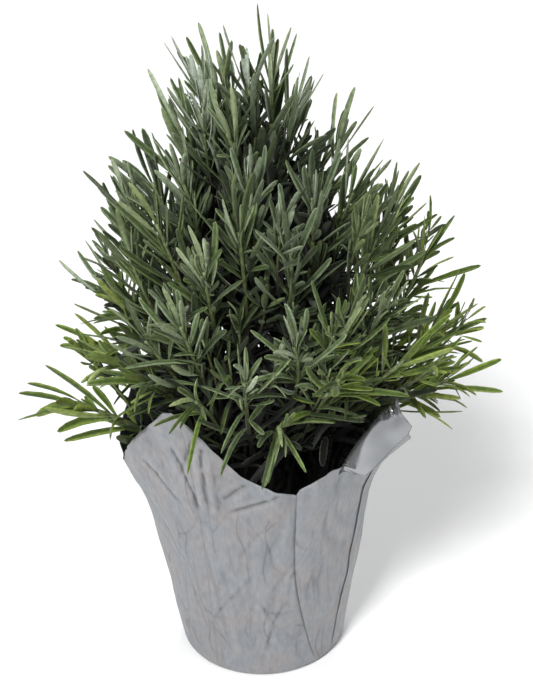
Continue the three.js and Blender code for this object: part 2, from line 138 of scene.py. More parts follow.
# Value noise from 0 to 1: the corners' numbers, blended smoothly in between
def cloud(points, size, seed):
    cell = np.floor(points / size).astype(np.int64)
    part = points / size - cell
    part = part * part * (3 - 2 * part)
    total = 0.0
    for corner in np.ndindex(2, 2, 2):
        weight = np.prod(np.where(np.array(corner) == 1, part, 1 - part), axis=-1)
        total = total + weight * cornerValue(cell + corner, seed)
    return total


# Flat facets that meet in sharp creases: with a place's shares of its cube in falling order
# x1 >= x2 >= x3, v0 (1 - x1) + v1 (x1 - x2) + v2 (x2 - x3) + v3 x3 over the corners on that way
def facets(points, size, seed):
    corner = np.floor(points / size).astype(np.int64)
    part = points / size - corner
    order = np.argsort(-part, axis=-1)
    falling = np.take_along_axis(part, order, axis=-1)
    falling = np.concatenate([falling, np.zeros_like(falling[..., :1])], axis=-1)
    total = cornerValue(corner, seed) * (1 - falling[..., 0])
    for rank in range(3):
        corner = corner + (order[..., rank:rank + 1] == np.arange(3))
        total += cornerValue(corner, seed) * (falling[..., rank] - falling[..., rank + 1])
    return total


# Point numbers of a grid, from a first number on
def numbered(rows, columns, first=0):
    return first + np.arange(rows * columns).reshape(rows, columns)


# Quads between neighbouring rows of point numbers. The last column joins the first.
def gridFaces(ids):
    after = np.roll(ids, -1, axis=-1)
    quads = [ids[..., :-1, :], after[..., :-1, :], after[..., 1:, :], ids[..., 1:, :]]
    return np.stack(quads, axis=-1).reshape(-1, 4)


# Triangles from a ring of point numbers to a pole
def poleFaces(ring, pole):
    return np.stack(np.broadcast_arrays(ring, np.roll(ring, -1, axis=-1), pole), axis=-1).reshape(-1, 3)


# A closed body from rings of points and a pole on the axis at each end. From the ring numbered
# lining on, its faces have the second material.
def closedBody(grid, poleHeights, lining=None):
    ids = numbered(*grid.shape[:2])
    points = np.concatenate([grid.reshape(-1, 3), [(0, 0, height) for height in poleHeights]])
    caps = poleFaces(ids[0][::-1], len(points) - 2), poleFaces(ids[-1], len(points) - 1)
    if lining is None:
        return points, [(gridFaces(ids), 0), (caps[0], 0), (caps[1], 0)]
    return points, [(gridFaces(ids[:lining + 1]), 0), (gridFaces(ids[lining:]), 1), (caps[0], 0), (caps[1], 1)]


# A piece from points in millimetres, a list of (faces, material index), and an attribute's values
def makePiece(name, points, groups, materials, tones=None, replaced=()):
    corners = np.concatenate([faces.ravel() for faces, _ in groups])
    sizes = np.concatenate([np.full(len(faces), faces.shape[1]) for faces, _ in groups])
    finishes = np.concatenate([np.full(len(faces), index) for faces, index in groups])
    mesh = bpy.data.meshes.new(name)
    mesh.vertices.add(len(points))
    mesh.vertices.foreach_set("co", (points * metresPerMm).astype(np.float32).ravel())
    mesh.loops.add(len(corners))
    mesh.loops.foreach_set("vertex_index", corners.astype(np.int32))
    mesh.polygons.add(len(sizes))
    mesh.polygons.foreach_set("loop_start", (np.cumsum(sizes) - sizes).astype(np.int32))
    mesh.polygons.foreach_set("material_index", finishes.astype(np.int32))
    mesh.polygons.foreach_set("use_smooth", np.ones(len(sizes), bool))
    mesh.update(calc_edges=True)
    if tones is not None:
        layer = mesh.color_attributes.new("tone", "FLOAT_COLOR", "POINT")
        layer.data.foreach_set("color", tones.astype(np.float32).ravel())
    for material in materials:
        mesh.materials.append(material)
    piece = addObject(name, mesh)
    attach(piece, "root")
    if replaced:
        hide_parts(*replaced)
    return piece


# The camera looks down at 27.1 degrees and is held 2.2 degrees off level, as the photograph's was
view = {"place": (0.0091, -0.8, 0.625), "pitch": 27.1, "roll": -2.2, "lens": 75.28, "sensor": 36}
camera = addObject("camera", bpy.data.cameras.new("camera"))
camera.data.lens = view["lens"]
camera.data.sensor_width = view["sensor"]
pitchTurn = Matrix.Rotation(math.radians(90 - view["pitch"]), 4, "X")
rollTurn = Matrix.Rotation(math.radians(view["roll"]), 4, "Z")
camera.matrix_world = Matrix.Translation(view["place"]) @ pitchTurn @ rollTurn
bpy.context.scene.camera = camera

studio = {
    "world": {"Color": "#f7f8fa", "Strength": 0.28},
    "floor": "#f6f6f6", "floorHalf": 6,
    # name, place, point aimed at, size, watts
    "lamps": [
        ("keyLamp", (-1.2, -2.9, 3.4), (0, 0, 0.24), 1.1, 214),
        ("fillLamp", (2.3, -2.9, 1.9), (0, 0, 0.2), 2.2, 28),
        ("rimLamp", (0.6, 2.6, 3.0), (0, 0, 0.3), 1.8, 66),
    ],
}
bpy.context.scene.view_settings.view_transform = "Standard"
world = bpy.data.worlds.new("studio")
world.use_nodes = True
feed(world.node_tree, world.node_tree.nodes["Background"], studio["world"])
bpy.context.scene.world = world
for name, place, aim, size, watts in studio["lamps"]:
    lamp = addObject(name, bpy.data.lights.new(name, "AREA"))
    lamp.data.energy = watts
    lamp.data.size = size
    turn = (Vector(place) - Vector(aim)).to_track_quat("Z", "Y").to_matrix().to_4x4()
    lamp.matrix_world = Matrix.Translation(place) @ turn

floorFinish, *_ = startMaterial("paintedStudioFloor", Base_Color=studio["floor"], Roughness=0.9)
floorMesh = bpy.data.meshes.new("studioFloor")
half = studio["floorHalf"]
corners = [(-half, -half, 0), (half, -half, 0), (half, half, 0), (-half, half, 0)]
floorMesh.from_pydata(corners, [], [(0, 1, 2, 3)])
floorMesh.materials.append(floorFinish)
studioFloor = addObject("studioFloor", floorMesh)
print("stage done")


# A noise's scale is one over the size in metres of what it stands for.
multiply = {"data_type": "RGBA", "blend_type": "MULTIPLY"}

# Silver film, printed face outwards: matt, mid grey, with faint warm and cool clouds, with painted light
# along its ridges and painted shade in its valleys and under the pleats (the attribute's red)
filmOutside, add, finish, place = startMaterial("mattSilverFilm", Roughness=0.5, Metallic=0.2)
parts = add("SeparateColor", {"Color": add("Attribute", attribute_name="tone")})
clouds = add("TexNoise", {"Vector": place, "Scale": 1 / 0.015, "Detail": 4.0})
tint = add("ValToRGB", {"Fac": clouds}, [(0.36, "#94989c"), (0.5, "#999a9c"), (0.64, "#9d9a9a")])
# painted light on the ridges and painted shade in the valleys and under the pleats
paintedRidgeShade = add("ValToRGB", {"Fac": parts.outputs["Red"]}, [
    (0.0, "#4e4f52"), (0.28, "#dcdcdd"), (0.5, "#ebebec"), (0.8, "#fafafa")])
paintedShadeFilm = add("Mix", {0: 1.0, 6: tint, 7: paintedRidgeShade}, **multiply)
# the grain is drawn out up the wall
upright = add("VectorMath", {0: place, 1: (1, 1, 0.35)}, operation="MULTIPLY")
grain = add("TexNoise", {"Vector": upright, "Scale": 1 / 0.0022, "Detail": 4.0})
speckle = add("ValToRGB", {"Fac": grain}, [(0.3, "#e9e9ea"), (0.7, "#ffffff")])
speckled = add("Mix", {0: 1.0, 6: paintedShadeFilm, 7: speckle}, **multiply)
bump = add("Bump", {"Strength": 0.4, "Distance": 0.0003, "Height": grain})
# hair creases too fine for the mesh, about 10 mm apart
hairline = add("TexNoise", {
    "Vector": upright, "Scale": 1 / 0.011, "Detail": 2.0, "Roughness": 0.5, "Offset": 1.0, "Gain": 1.5,
    "Distortion": 0.7}, noise_type="RIDGED_MULTIFRACTAL")
bump = add("Bump", {"Strength": 0.4, "Distance": 0.0006, "Height": hairline, "Normal": bump})
# painted shade of fine creases: dark hair lines run up the film along edges of cells 15 mm across and 12
# times as long, bent by a slow noise with which they come and go
comes = add("TexNoise", {"Vector": place, "Scale": 1 / 0.03, "Detail": 0.0})
bent = add("VectorMath", {0: comes.outputs["Color"], 1: (0.014, 0.014, 0.0), 2: place},
           operation="MULTIPLY_ADD")
long = add("VectorMath", {0: bent, 1: (1, 1, 0.08)}, operation="MULTIPLY")
hairCreaseCells = add("TexVoronoi", {"Vector": long, "Scale": 1 / 0.015}, feature="DISTANCE_TO_EDGE")
# painted shade: the cells' edges are drawn as darker lines
line = add("ValToRGB", {"Fac": hairCreaseCells}, [(0.0, "#d2d2d5"), (0.025, "#f4f4f5"), (0.06, "#ffffff")])
here = add("MapRange", {"Value": comes, "From Min": 0.4, "From Max": 0.65})
lined = add("Mix", {0: here, 6: speckled, 7: line}, **multiply)
finish({"Base Color": lined, "Normal": bump})

# The same film's bare metallised face, which lines the cover: glossy silver
filmInside, add, finish, place = startMaterial("glossySilverFilm", Metallic=0.85)
smears = add("TexNoise", {"Vector": place, "Scale": 1 / 0.02, "Detail": 1.0})
gloss = add("MapRange", {"Value": smears, "To Min": 0.12, "To Max": 0.2})
tint = add("ValToRGB", {"Fac": smears}, [(0.3, "#7b7d80"), (0.7, "#9c9ea0")])
finish({"Base Color": tint, "Roughness": gloss})

# Thin thermoformed polypropylene: near-black, a little dusty, with a faint orange-peel skin
polypropylene, add, finish, place = startMaterial("thermoformedPolypropylene", IOR=1.49)
dust = add("TexNoise", {"Vector": place, "Scale": 1 / 0.018, "Detail": 5.0})
tint = add("ValToRGB", {"Fac": dust}, [(0.45, "#0e0e0f"), (0.75, "#1f1e1d")])
gloss = add("MapRange", {"Value": dust, "To Min": 0.4, "To Max": 0.7})
peel = add("TexNoise", {"Vector": place, "Scale": 1 / 0.0012})
bump = add("Bump", {"Strength": 0.15, "Distance": 0.0002, "Height": peel})
finish({"Base Color": tint, "Roughness": gloss, "Normal": bump})

# Moist peat with bark fines: almost black in its hollows, red-brown on its crumbs, fully matt
peat, add, finish, place = startMaterial("moistPeat", Roughness=0.95)
crumb = add("TexNoise", {"Vector": place, "Scale": 1 / 0.003, "Detail": 6.0})
tint = add("ValToRGB", {"Fac": crumb}, [(0.35, "#060504"), (0.55, "#110c08"), (0.75, "#261b13")])
bump = add("Bump", {"Strength": 0.8, "Distance": 0.001, "Height": crumb})
finish({"Base Color": tint, "Normal": bump})

# Felted lavender leaf: short pale hairs over green. The attribute holds how fresh the leaf is (red),
# its random tone with painted light and shade (green), the way round the blade from the groove (0) over the
# rolled edge (0.5) to the underside (1) (blue), and the way from foot to tip (alpha).
leafFelt, add, finish, place = startMaterial(
    "feltedLavenderLeaf", Roughness=0.62, IOR=1.42, Sheen_Weight=0.14, Sheen_Roughness=0.45,
    Sheen_Tint="#dfe8dc")
tone = add("Attribute", attribute_name="tone")
parts = add("SeparateColor", {"Color": tone})
greyBlade = add("ValToRGB", {"Fac": parts.outputs["Blue"]}, [
    (0.0, "#4c5b3e"), (0.2, "#808f75"), (0.5, "#bac5b5"), (1.0, "#aab5a6")])
freshBlade = add("ValToRGB", {"Fac": parts.outputs["Blue"]}, [
    (0.0, "#435a13"), (0.2, "#6d8428"), (0.5, "#9dad50"), (1.0, "#899a43")])
blade = add("Mix", {0: parts.outputs["Red"], 6: greyBlade, 7: freshBlade}, data_type="RGBA")
# painted light and shade from the attribute's green: near black deep in the bush, lighter where the light falls
shade = add("ValToRGB", {"Fac": parts.outputs["Green"]}, [
    (0.0, "#090b05"), (0.3, "#707a5a"), (0.65, "#cdd3bf"), (1.0, "#ffffff")])
shaded = add("Mix", {0: 1.0, 6: blade, 7: shade}, **multiply)
foot = add("MapRange", {"Value": tone.outputs["Alpha"], "From Min": 0.0, "From Max": 0.3,
                        "To Min": 0.55, "To Max": 0.0})
footed = add("Mix", {0: foot, 6: shaded, 7: "#5d6f35"}, data_type="RGBA")
felt = add("TexNoise", {"Vector": place, "Scale": 1 / 0.003, "Detail": 5.0})
patch = add("ValToRGB", {"Fac": felt}, [(0.36, "#b9beb2"), (0.62, "#ffffff")])
patched = add("Mix", {0: 0.8, 6: footed, 7: patch}, **multiply)
hairs = add("TexNoise", {"Vector": place, "Scale": 1 / 0.0007})
bump = add("Bump", {"Strength": 0.3, "Distance": 0.0002, "Height": hairs})
finish({"Base Color": patched, "Normal": bump})

# Lavender stem: felted and green where it is young, with flaking bark lower down, darkened to near black
# towards its foot by painted shade
stemBark, add, finish, place = startMaterial("youngLavenderStem", Roughness=0.75)
tone = add("Attribute", attribute_name="tone")
# painted shade: the colour runs down to near black over the lowest third of the stem
skinAndPaintedShade = add("ValToRGB", {"Fac": tone.outputs["Alpha"]}, [
    (0.36, "#0e0c09"), (0.56, "#34361f"), (0.8, "#66733f"), (1.0, "#87976b")])
flakes = add("TexNoise", {"Vector": place, "Scale": 1 / 0.0025, "Detail": 4.0})
patch = add("ValToRGB", {"Fac": flakes}, [(0.35, "#a9a59b"), (0.65, "#ffffff")])
barked = add("Mix", {0: 1.0, 6: skinAndPaintedShade, 7: patch}, **multiply)
bump = add("Bump", {"Strength": 0.5, "Distance": 0.0003, "Height": flakes})
finish({"Base Color": barked, "Normal": bump})
print("materials done")


cover = {
    "baseRadius": 55, "edgeRadius": 6, "tilt": 8.8, "bluntness": 0.12, "pleatRunOut": 60,
    "filmThickness": 0.3, "floorThickness": 1.0,
    # azimuth, height, radius, height where the wall starts to flare, bow of the rim's turn
    "rim": np.array([
        (-84, 147, 85, 90, 0.3), (-30, 218, 93, 90, 0.3), (16, 155, 78, 90, 0.5), (45, 218, 107, 115, 0.4),
        (92, 152, 95, 112, 0.2), (135, 206, 103, 100, 0.3), (180, 153, 84, 90, 0.3),
        (222, 186, 93, 90, 0.3)], float),
    # azimuth of a pleat's open edge, its step, degrees over which it runs back, degrees of sheet tucked
    # under it, degrees it wanders towards the foot, share of the step that the film makes
    "pleats": np.array([
        (17, 2.6, 34, 5.0, 22, 0.75), (58, 2.2, 26, 2.0, -4, 0.36), (104, 2.4, 30, 4.5, 6, 0.5),
        (152, 2.0, 28, 4.0, -8, 0.5), (196, 2.4, 32, 4.5, 9, 0.5), (243, 2.2, 28, 4.0, -6, 0.5),
        (290, 2.2, 24, 3.0, 5, 0.4), (332, 1.6, 20, 0.6, -7, 0.5)], float),
    # the four columns of a pleat's fold: degrees before its open edge, shares of its tuck and step,
    # and the side of the inner face: 0 aside, -1 outwards
    "fold": np.array([
        (0.08, 1.08, 0.22, 0), (0.06, 1.0, 0.42, -1), (0.04, 0.0, 0.55, -1), (0.02, -0.05, 0.8, 0)]),
    "foldWidth": 0.1, "wanderFrom": 115,
    # how far the pleats have opened at a height
    "opening": ([3, 12, 60, 142, 166], [0, 0.4, 1, 1, 0]),
    # height of the cut edge in front, at azimuths; it steps up at the seam
    "cutEdge": ([-62, -60, -54, -47.5, -40, -35, -31, -29, -25, -19.4, -12.6, -6.2, -0.5, 4.6, 11.9, 16.8,
                 17.2, 20.6, 25.2, 29],
                [168, 174, 184, 193.5, 205, 212.5, 215.5, 214, 207, 198, 185, 173.5, 168.5, 164, 157, 153.5,
                 158.5, 163, 168.5, 171]),
    # height at which the right-hand corner folds back, and of the cut edge to its right
    "cornerEdge": ([29, 35.2, 38, 40, 42, 44, 46, 47.7, 50, 53, 56, 60, 64, 70, 78, 86, 92],
                   [171, 171, 178, 184, 191, 200, 212, 218, 206, 198, 190, 180, 172, 163, 157, 153, 152]),
    # how far the edge strays up and down, over what length, on a circle of what radius
    "stray": 2.2, "straySize": 5, "strayRadius": 80,
    "panelColumns": 44, "wallRows": 108, "footRows": 6,
    "underRadii": [10, 24, 38, 45], "underHeights": [0.25, 0.25, 0.25, 0], "poleHeight": 0.3,
    # how far below the rim the distance to the wall is taken
    "probes": 4 * np.arange(25),
}
coverSlope = math.tan(math.radians(cover["tilt"]))
wallFoot = cover["edgeRadius"] * (1 - math.sin(math.radians(cover["tilt"])))


def plainWallRadius(height):
    return cover["baseRadius"] + coverSlope * (height - wallFoot)


# A flank runs nearly straight and turns round at its foot: a hyperbola of the given bow
def rounded(share, bow):
    return (np.hypot(share, bow) - bow) / (np.hypot(1, bow) - bow)


# The rim's height and radius and the flare's start at azimuths, blended from a dip to a corner
def rimAt(azimuth):
    table = cover["rim"]
    turned = (azimuth - table[0, 0]) % 360
    index = np.searchsorted(table[:, 0] - table[0, 0], turned, side="right") - 1
    start, end = table[index], table[(index + 1) % len(table)]
    share = (turned - (start[..., 0] - table[0, 0])) / ((end[..., 0] - start[..., 0]) % 360)
    rising = end[..., 1] > start[..., 1]
    dip = np.where(rising[..., None], start, end)
    corner = np.where(rising[..., None], end, start)
    blunt = 1 - rounded(1 - np.where(rising, share, 1 - share), cover["bluntness"])
    height = dip[..., 1] + (corner[..., 1] - dip[..., 1]) * rounded(blunt, dip[..., 4])
    radius = dip[..., 2] + (corner[..., 2] - dip[..., 2]) * blunt
    return height, radius, dip[..., 3] + (corner[..., 3] - dip[..., 3]) * blunt


# How far a pleat stands out: its depth at its open edge, run back to nothing over its width
def pleatAt(azimuth):
    depths, widths = cover["pleats"][:, 1], cover["pleats"][:, 2]
    behind = (np.asarray(azimuth)[..., None] - cover["pleats"][:, 0]) % 360
    return np.sum(depths * np.clip(1 - behind / widths, 0, None), axis=-1)


# The wall without its pleats: the tilted wall, plus the flare times the square of the rise over it
def flaredRadius(azimuth, height):
    rimHeight, rimRadius, flareFrom = rimAt(azimuth)
    rise = np.clip(height - flareFrom, 0, None) / (rimHeight - flareFrom)
    return plainWallRadius(height) + (rimRadius - plainWallRadius(rimHeight)) * rise * rise


# The solid's wall, whose pleats grow from its foot up
def wallRadius(azimuth, height):
    growing = np.clip((height - wallFoot) / cover["pleatRunOut"], 0, 1)
    return flaredRadius(azimuth, height) + pleatAt(azimuth) * growing


crumples = {
    # size of the facets and how far they rise and fall; they are longer up the wall than round it
    "facets": [(44, 4.0), (25, 3.0), (14, 1.7), (8, 0.75)],
    "upright": 0.5, "bend": 7, "bendSize": 30, "bendSeeds": (11, 12, 13), "fadeBelow": 25,
    # the facets' lattice is turned, so that none of its planes lies along the wall
    "lattice": np.array([[0.8, 0.36, -0.48], [-0.6, 0.48, -0.64], [0, 0.8, 0.6]]),
    # creases read from the photograph: azimuth and height of each end, depth
    "creases": [
        (-35, 188, -28, 142, 1.2), (-54, 168, -38, 143, 1.1), (-21, 192, -23, 176, 0.8),
        (-19.5, 190, -20.5, 140, -1.3), (-25, 186, -26, 146, -1.1), (-57, 113, -48, 92, 0.9),
        (-15, 152, -4, 168, 0.5), (-13, 142, 10, 158, 0.6), (19, 95, 15.6, 85, 0.5),
        (15.6, 85, 14.8, 62, 0.5), (6, 48, -3, 72, 0.45), (6, 48, 13, 66, 0.45), (6, 48, 1, 22, 0.4),
        (6, 48, 12, 26, 0.4), (20, 43, 27, 40, 0.4), (-4, 140, -7, 60, 0.35), (-28, 120, -22, 30, 0.4),
        (32, 150, 34, 60, 0.35), (-44, 90, -36, 30, 0.4), (66, 140, 72, 80, 0.6), (150, 150, 160, 60, 0.7),
        (205, 170, 212, 90, 0.7), (262, 150, 254, 70, 0.6), (120, 160, 126, 90, 0.6),
        (226, 190, 220, 120, 0.6),
    ],
    # radius at which the wall is unrolled for them, a crease's width, and its depth at its ends
    "unrolled": 68, "creaseWidth": 1.5, "endDepth": 0.05,
    # and many more by a draw: how many, their height, half length, lean and depth
    "drawn": 130, "drawnHeight": (12, 175), "drawnHalf": (6, 30), "drawnLean": 22, "drawnDepth": 0.34,
    # painted light and shade: tone of the flat film, its gain per mm of ridge, the darkest valley, and the
    # painted shadow under a pleat
    "flatTone": 0.5, "toneGain": 1.1, "darkest": 0.12, "pleatShadow": 0.9,
}


# A crease is a furrow: its depth times exp(-(distance / width) squared), with the distance from the
# line between its ends on the unrolled wall
def furrows(azimuth, height):
    draws = np.random.default_rng(21)
    count, unrolled = crumples["drawn"], crumples["unrolled"]
    middle = np.stack([draws.uniform(0, 360, count), draws.uniform(*crumples["drawnHeight"], count)], axis=1)
    half = draws.uniform(*crumples["drawnHalf"], count)
    lean = np.radians(draws.normal(0, crumples["drawnLean"], count))
    reach = np.stack([np.degrees(half * np.sin(lean) / unrolled), half * np.cos(lean)], axis=1)
    depth = crumples["drawnDepth"] * draws.uniform(-1, 1, (count, 1))
    drawn = np.concatenate([middle - reach, middle + reach, depth], axis=1)
    total = np.zeros(np.shape(height))
    for startAzimuth, startHeight, endAzimuth, endHeight, depth in (*drawn, *crumples["creases"]):
        aside = np.radians((azimuth - startAzimuth + 180) % 360 - 180) * unrolled
        run = np.array([math.radians(endAzimuth - startAzimuth) * unrolled, endHeight - startHeight])
        share = np.clip((aside * run[0] + (height - startHeight) * run[1]) / (run @ run), 0, 1)
        away = np.hypot(aside - share * run[0], height - startHeight - share * run[1])
        fade = np.sqrt(4 * share * (1 - share) + crumples["endDepth"])
        total += depth * np.exp(-(away / crumples["creaseWidth"]) ** 2) * fade
    return total


# The crumpled sheet: facets of four sizes, each read at places bent aside by value noise
def crumple(place):
    noises = [cloud(place, crumples["bendSize"], seed) for seed in crumples["bendSeeds"]]
    aside = np.stack(noises, axis=-1) - 0.5
    place = (place + crumples["bend"] * aside) * np.array([1, 1, crumples["upright"]])
    place = place @ crumples["lattice"].T
    return sum(depth * (facets(place, size, size) - 0.5) for size, depth in crumples["facets"])


# The right-hand corner is folded back like a lapel, along a line between two points of the rim
lapel = {
    "azimuths": (35.2, 47.2), "radii": (88.3, 106.5), "heights": (171.0, 217.0), "facing": (40.0, -0.45),
    # way past the fold, and degrees turned there
    "turns": ([0, 5, 11, 26], [0, 104, 126, 160]),
    # share of the fold's length, and the sheet's depth beyond the fold
    "depth": ([0, 0.1, 0.84, 1], [0, 17, 27, 3]),
    # way past the fold, and the share of the crumples there
    "dents": ([0, 4, 10], [1, 0.3, 0.6]),
    # the wall beside it leans out further: how far, where and over how many degrees, from which
    # height, over what rise and to what power of it
    "flare": 9.0, "flareAt": 71, "flareWidth": 14, "flareFrom": 122, "flareRise": 40, "flarePower": 2.5,
}


# The sheet's columns: a panel runs from the open edge of a pleat to where it is tucked under the
# next, and then come the fold's four. A column has an azimuth, its tuck under the next pleat, how far
# it stands out and how far it wanders, and the side of its inner face, 1 being inwards.
def sheetColumns():
    azimuths, depths, widths, tucks, wanders, thinner = cover["pleats"].T[:, :, None]
    depths = depths * thinner
    nextAzimuths, nextTucks, nextDepths, nextWanders = (
        np.roll(values, -1, axis=0) for values in (azimuths, tucks, depths, wanders))
    nextAzimuths[-1] += 360
    before, tuckShare, depthShare, side = cover["fold"].T
    share = np.linspace(0, 1, cover["panelColumns"])
    panel = azimuths + (nextAzimuths - azimuths - cover["foldWidth"]) * share
    standing = np.clip(1 - (panel - azimuths) / widths, 0, None)
    pairs = [
        (panel, nextAzimuths - before),
        (nextTucks * share ** 3, nextTucks * tuckShare),
        (depths * standing, nextDepths * depthShare),
        (wanders * (1 - share) + nextWanders * share, nextWanders),
        (1, side),
    ]
    shapes = panel.shape, (len(panel), len(side))
    return [np.hstack([np.broadcast_to(part, shape) for part, shape in zip(pair, shapes)]).ravel()
            for pair in pairs]


# Turns the sheet over past the lapel's fold: it goes up by the sum of the steps times the cosine of
# the angle turned, and out by the sum of the steps times its sine
def turnOver(wall, normal, beyond):
    start, end = polar(*(np.array(lapel[key]) for key in ("radii", "azimuths", "heights")))
    fold = unit(end - start)
    outOf = polar(1.0, *lapel["facing"])
    outOf = unit(outOf - fold * (outOf @ fold))
    upSheet = np.cross(outOf, fold)
    angle = np.radians(np.interp(beyond, *lapel["turns"]))
    halfway = (angle + np.roll(angle, 1, axis=0)) / 2
    steps = np.diff(beyond, axis=0, prepend=0)
    wall = wall + np.cumsum(steps * np.cos(halfway), axis=0)[..., None] * upSheet
    wall = wall + np.cumsum(steps * np.sin(halfway), axis=0)[..., None] * outOf
    facing, angle = (normal @ outOf)[..., None], angle[..., None]
    return wall, unit(normal + facing * ((np.cos(angle) - 1) * outOf - np.sin(angle) * upSheet))


def makeCover():
    base, tuck, push, wander, side = sheetColumns()
    fromFront = (base + 180) % 360 - 180
    rimHeight = rimAt(base)[0]
    for heights in (cover["cutEdge"], cover["cornerEdge"]):
        within = (fromFront >= heights[0][0]) & (fromFront <= heights[0][-1])
        rimHeight = np.where(within, np.interp(fromFront, *heights), rimHeight)
    circle = polar(cover["strayRadius"], base, 0)
    rimHeight += cover["stray"] * (cloud(circle, cover["straySize"], 2) - 0.5)
    along = (fromFront - lapel["azimuths"][0]) / (lapel["azimuths"][1] - lapel["azimuths"][0])
    turnedDepth = np.where((along > 0) & (along < 1), np.interp(along, *lapel["depth"]), 0)
    height = wallFoot + (rimHeight + turnedDepth - wallFoot) * np.linspace(0, 1, cover["wallRows"])[:, None]
    beyond = np.clip(height - rimHeight, 0, None)
    height = np.minimum(height, rimHeight)
    opening = np.interp(height, *cover["opening"])
    azimuth = base + tuck * opening + wander * np.clip(1 - height / cover["wanderFrom"], 0, 1) ** 2
    radius = flaredRadius(azimuth, height) + push * opening
    rise = np.clip((height - lapel["flareFrom"]) / lapel["flareRise"], 0, None) ** lapel["flarePower"]
    radius += lapel["flare"] * rise * np.exp(-((fromFront - lapel["flareAt"]) / lapel["flareWidth"]) ** 2)
    wall = polar(radius, azimuth, height)
    fading = np.clip(height / crumples["fadeBelow"], 0, 1)
    dent = fading * crumple(wall + up * beyond[..., None]) - furrows(azimuth, height)
    dent = dent * np.interp(beyond, *lapel["dents"])
    wall, normal = turnOver(wall, unit(polar(1.0, azimuth, -coverSlope)), beyond)
    wall = wall + dent[..., None] * normal

    # the rounded foot and the flat underside
    turns = np.radians(np.linspace(0, 90 - cover["tilt"], cover["footRows"], endpoint=False))[:, None]
    edge = cover["edgeRadius"]
    footAzimuth = base + wander
    foot = polar(cover["baseRadius"] - edge + edge * np.sin(turns), footAzimuth, edge * (1 - np.cos(turns)))
    radii, heights = (np.array(cover[key])[:, None] for key in ("underRadii", "underHeights"))
    under = polar(radii, footAzimuth, heights)
    outer = np.concatenate([under, foot, wall])
    below = len(under) + len(foot)
    normal = np.concatenate([np.broadcast_to(-up, under.shape),
                             polar(np.sin(turns), footAzimuth, -np.cos(turns)), normal])
    opening = np.concatenate([np.zeros((below, len(base))), opening])
    # the inner face lies a film's thickness from the outer one, and the floor is thicker
    depth = np.full(len(outer), cover["filmThickness"])
    depth[:below] = np.linspace(cover["floorThickness"], cover["filmThickness"], below)
    inwards = 1 + (side - 1) * opening
    aside = polar(1.0, np.degrees(np.arctan2(outer[..., 0], -outer[..., 1])) + 90, 0.0)
    inner = outer - depth[:, None, None] * (
        normal * inwards[..., None] - aside * ((1 - np.abs(inwards)) * opening)[..., None])
    poleHeights = cover["poleHeight"], cover["poleHeight"] + cover["floorThickness"]
    points, groups = closedBody(np.concatenate([outer, inner[::-1]]), poleHeights, len(outer))

    # painted light and shade: how far a point stands above the mean round it makes ridges light and valleys
    # dark
    field = np.zeros(outer.shape[:2])
    field[below:] = dent
    mean = sum(np.roll(field, shift, axis) for shift in (-2, 2) for axis in (0, 1)) / 4
    paintedRidgeShade = np.clip(crumples["flatTone"] + crumples["toneGain"] * (field - mean), crumples["darkest"], 1)
    # painted shadow: the film tucked under each pleat is darkened
    paintedRidgeShade = paintedRidgeShade * (1 - crumples["pleatShadow"] * (side < 1))
    tones = np.zeros((len(points), 4))
    tones[:, 3] = 1
    tones[:paintedRidgeShade.size, 0] = paintedRidgeShade.ravel()
    tones[paintedRidgeShade.size:, 0] = crumples["flatTone"]
    makePiece("crinkled_cover", points, groups, [filmOutside, filmInside], tones, ["pot_cover"])


makeCover()
print("cover done")


pot = {
    "floor": 1.3, "height": 142, "wall": 1.5, "baseRadius": 46.5, "topRadius": 70.5, "lipRadius": 73,
    "lipHeight": 10, "poleRing": 20, "segments": 96, "wallRows": 24,
    # faint stacking rings: how far they stand out, their share of the height, their width
    "ringDepth": 0.35, "ringAt": 0.66, "ringWidth": 4,
    # drain holes, and the heights from the pot's foot between which they are cut
    "holeRadius": 5, "holeCircle": 38, "holeCount": 5, "holeSegments": 24, "holeCut": (-3, 5),
}
potLipFoot = pot["floor"] + pot["height"] - pot["lipHeight"]
potTaper = (pot["topRadius"] - pot["baseRadius"]) / (potLipFoot - pot["floor"])


def potInside(height):
    return pot["baseRadius"] + potTaper * (height - pot["floor"]) - pot["wall"]


# A turned body: each (radius, height) of the profile is carried round the axis
def turned(profile, segments):
    profile = np.array(profile, float)
    return closedBody(polar(profile[:, :1], around(segments), profile[:, 1:]), profile[[0, -1], 1])


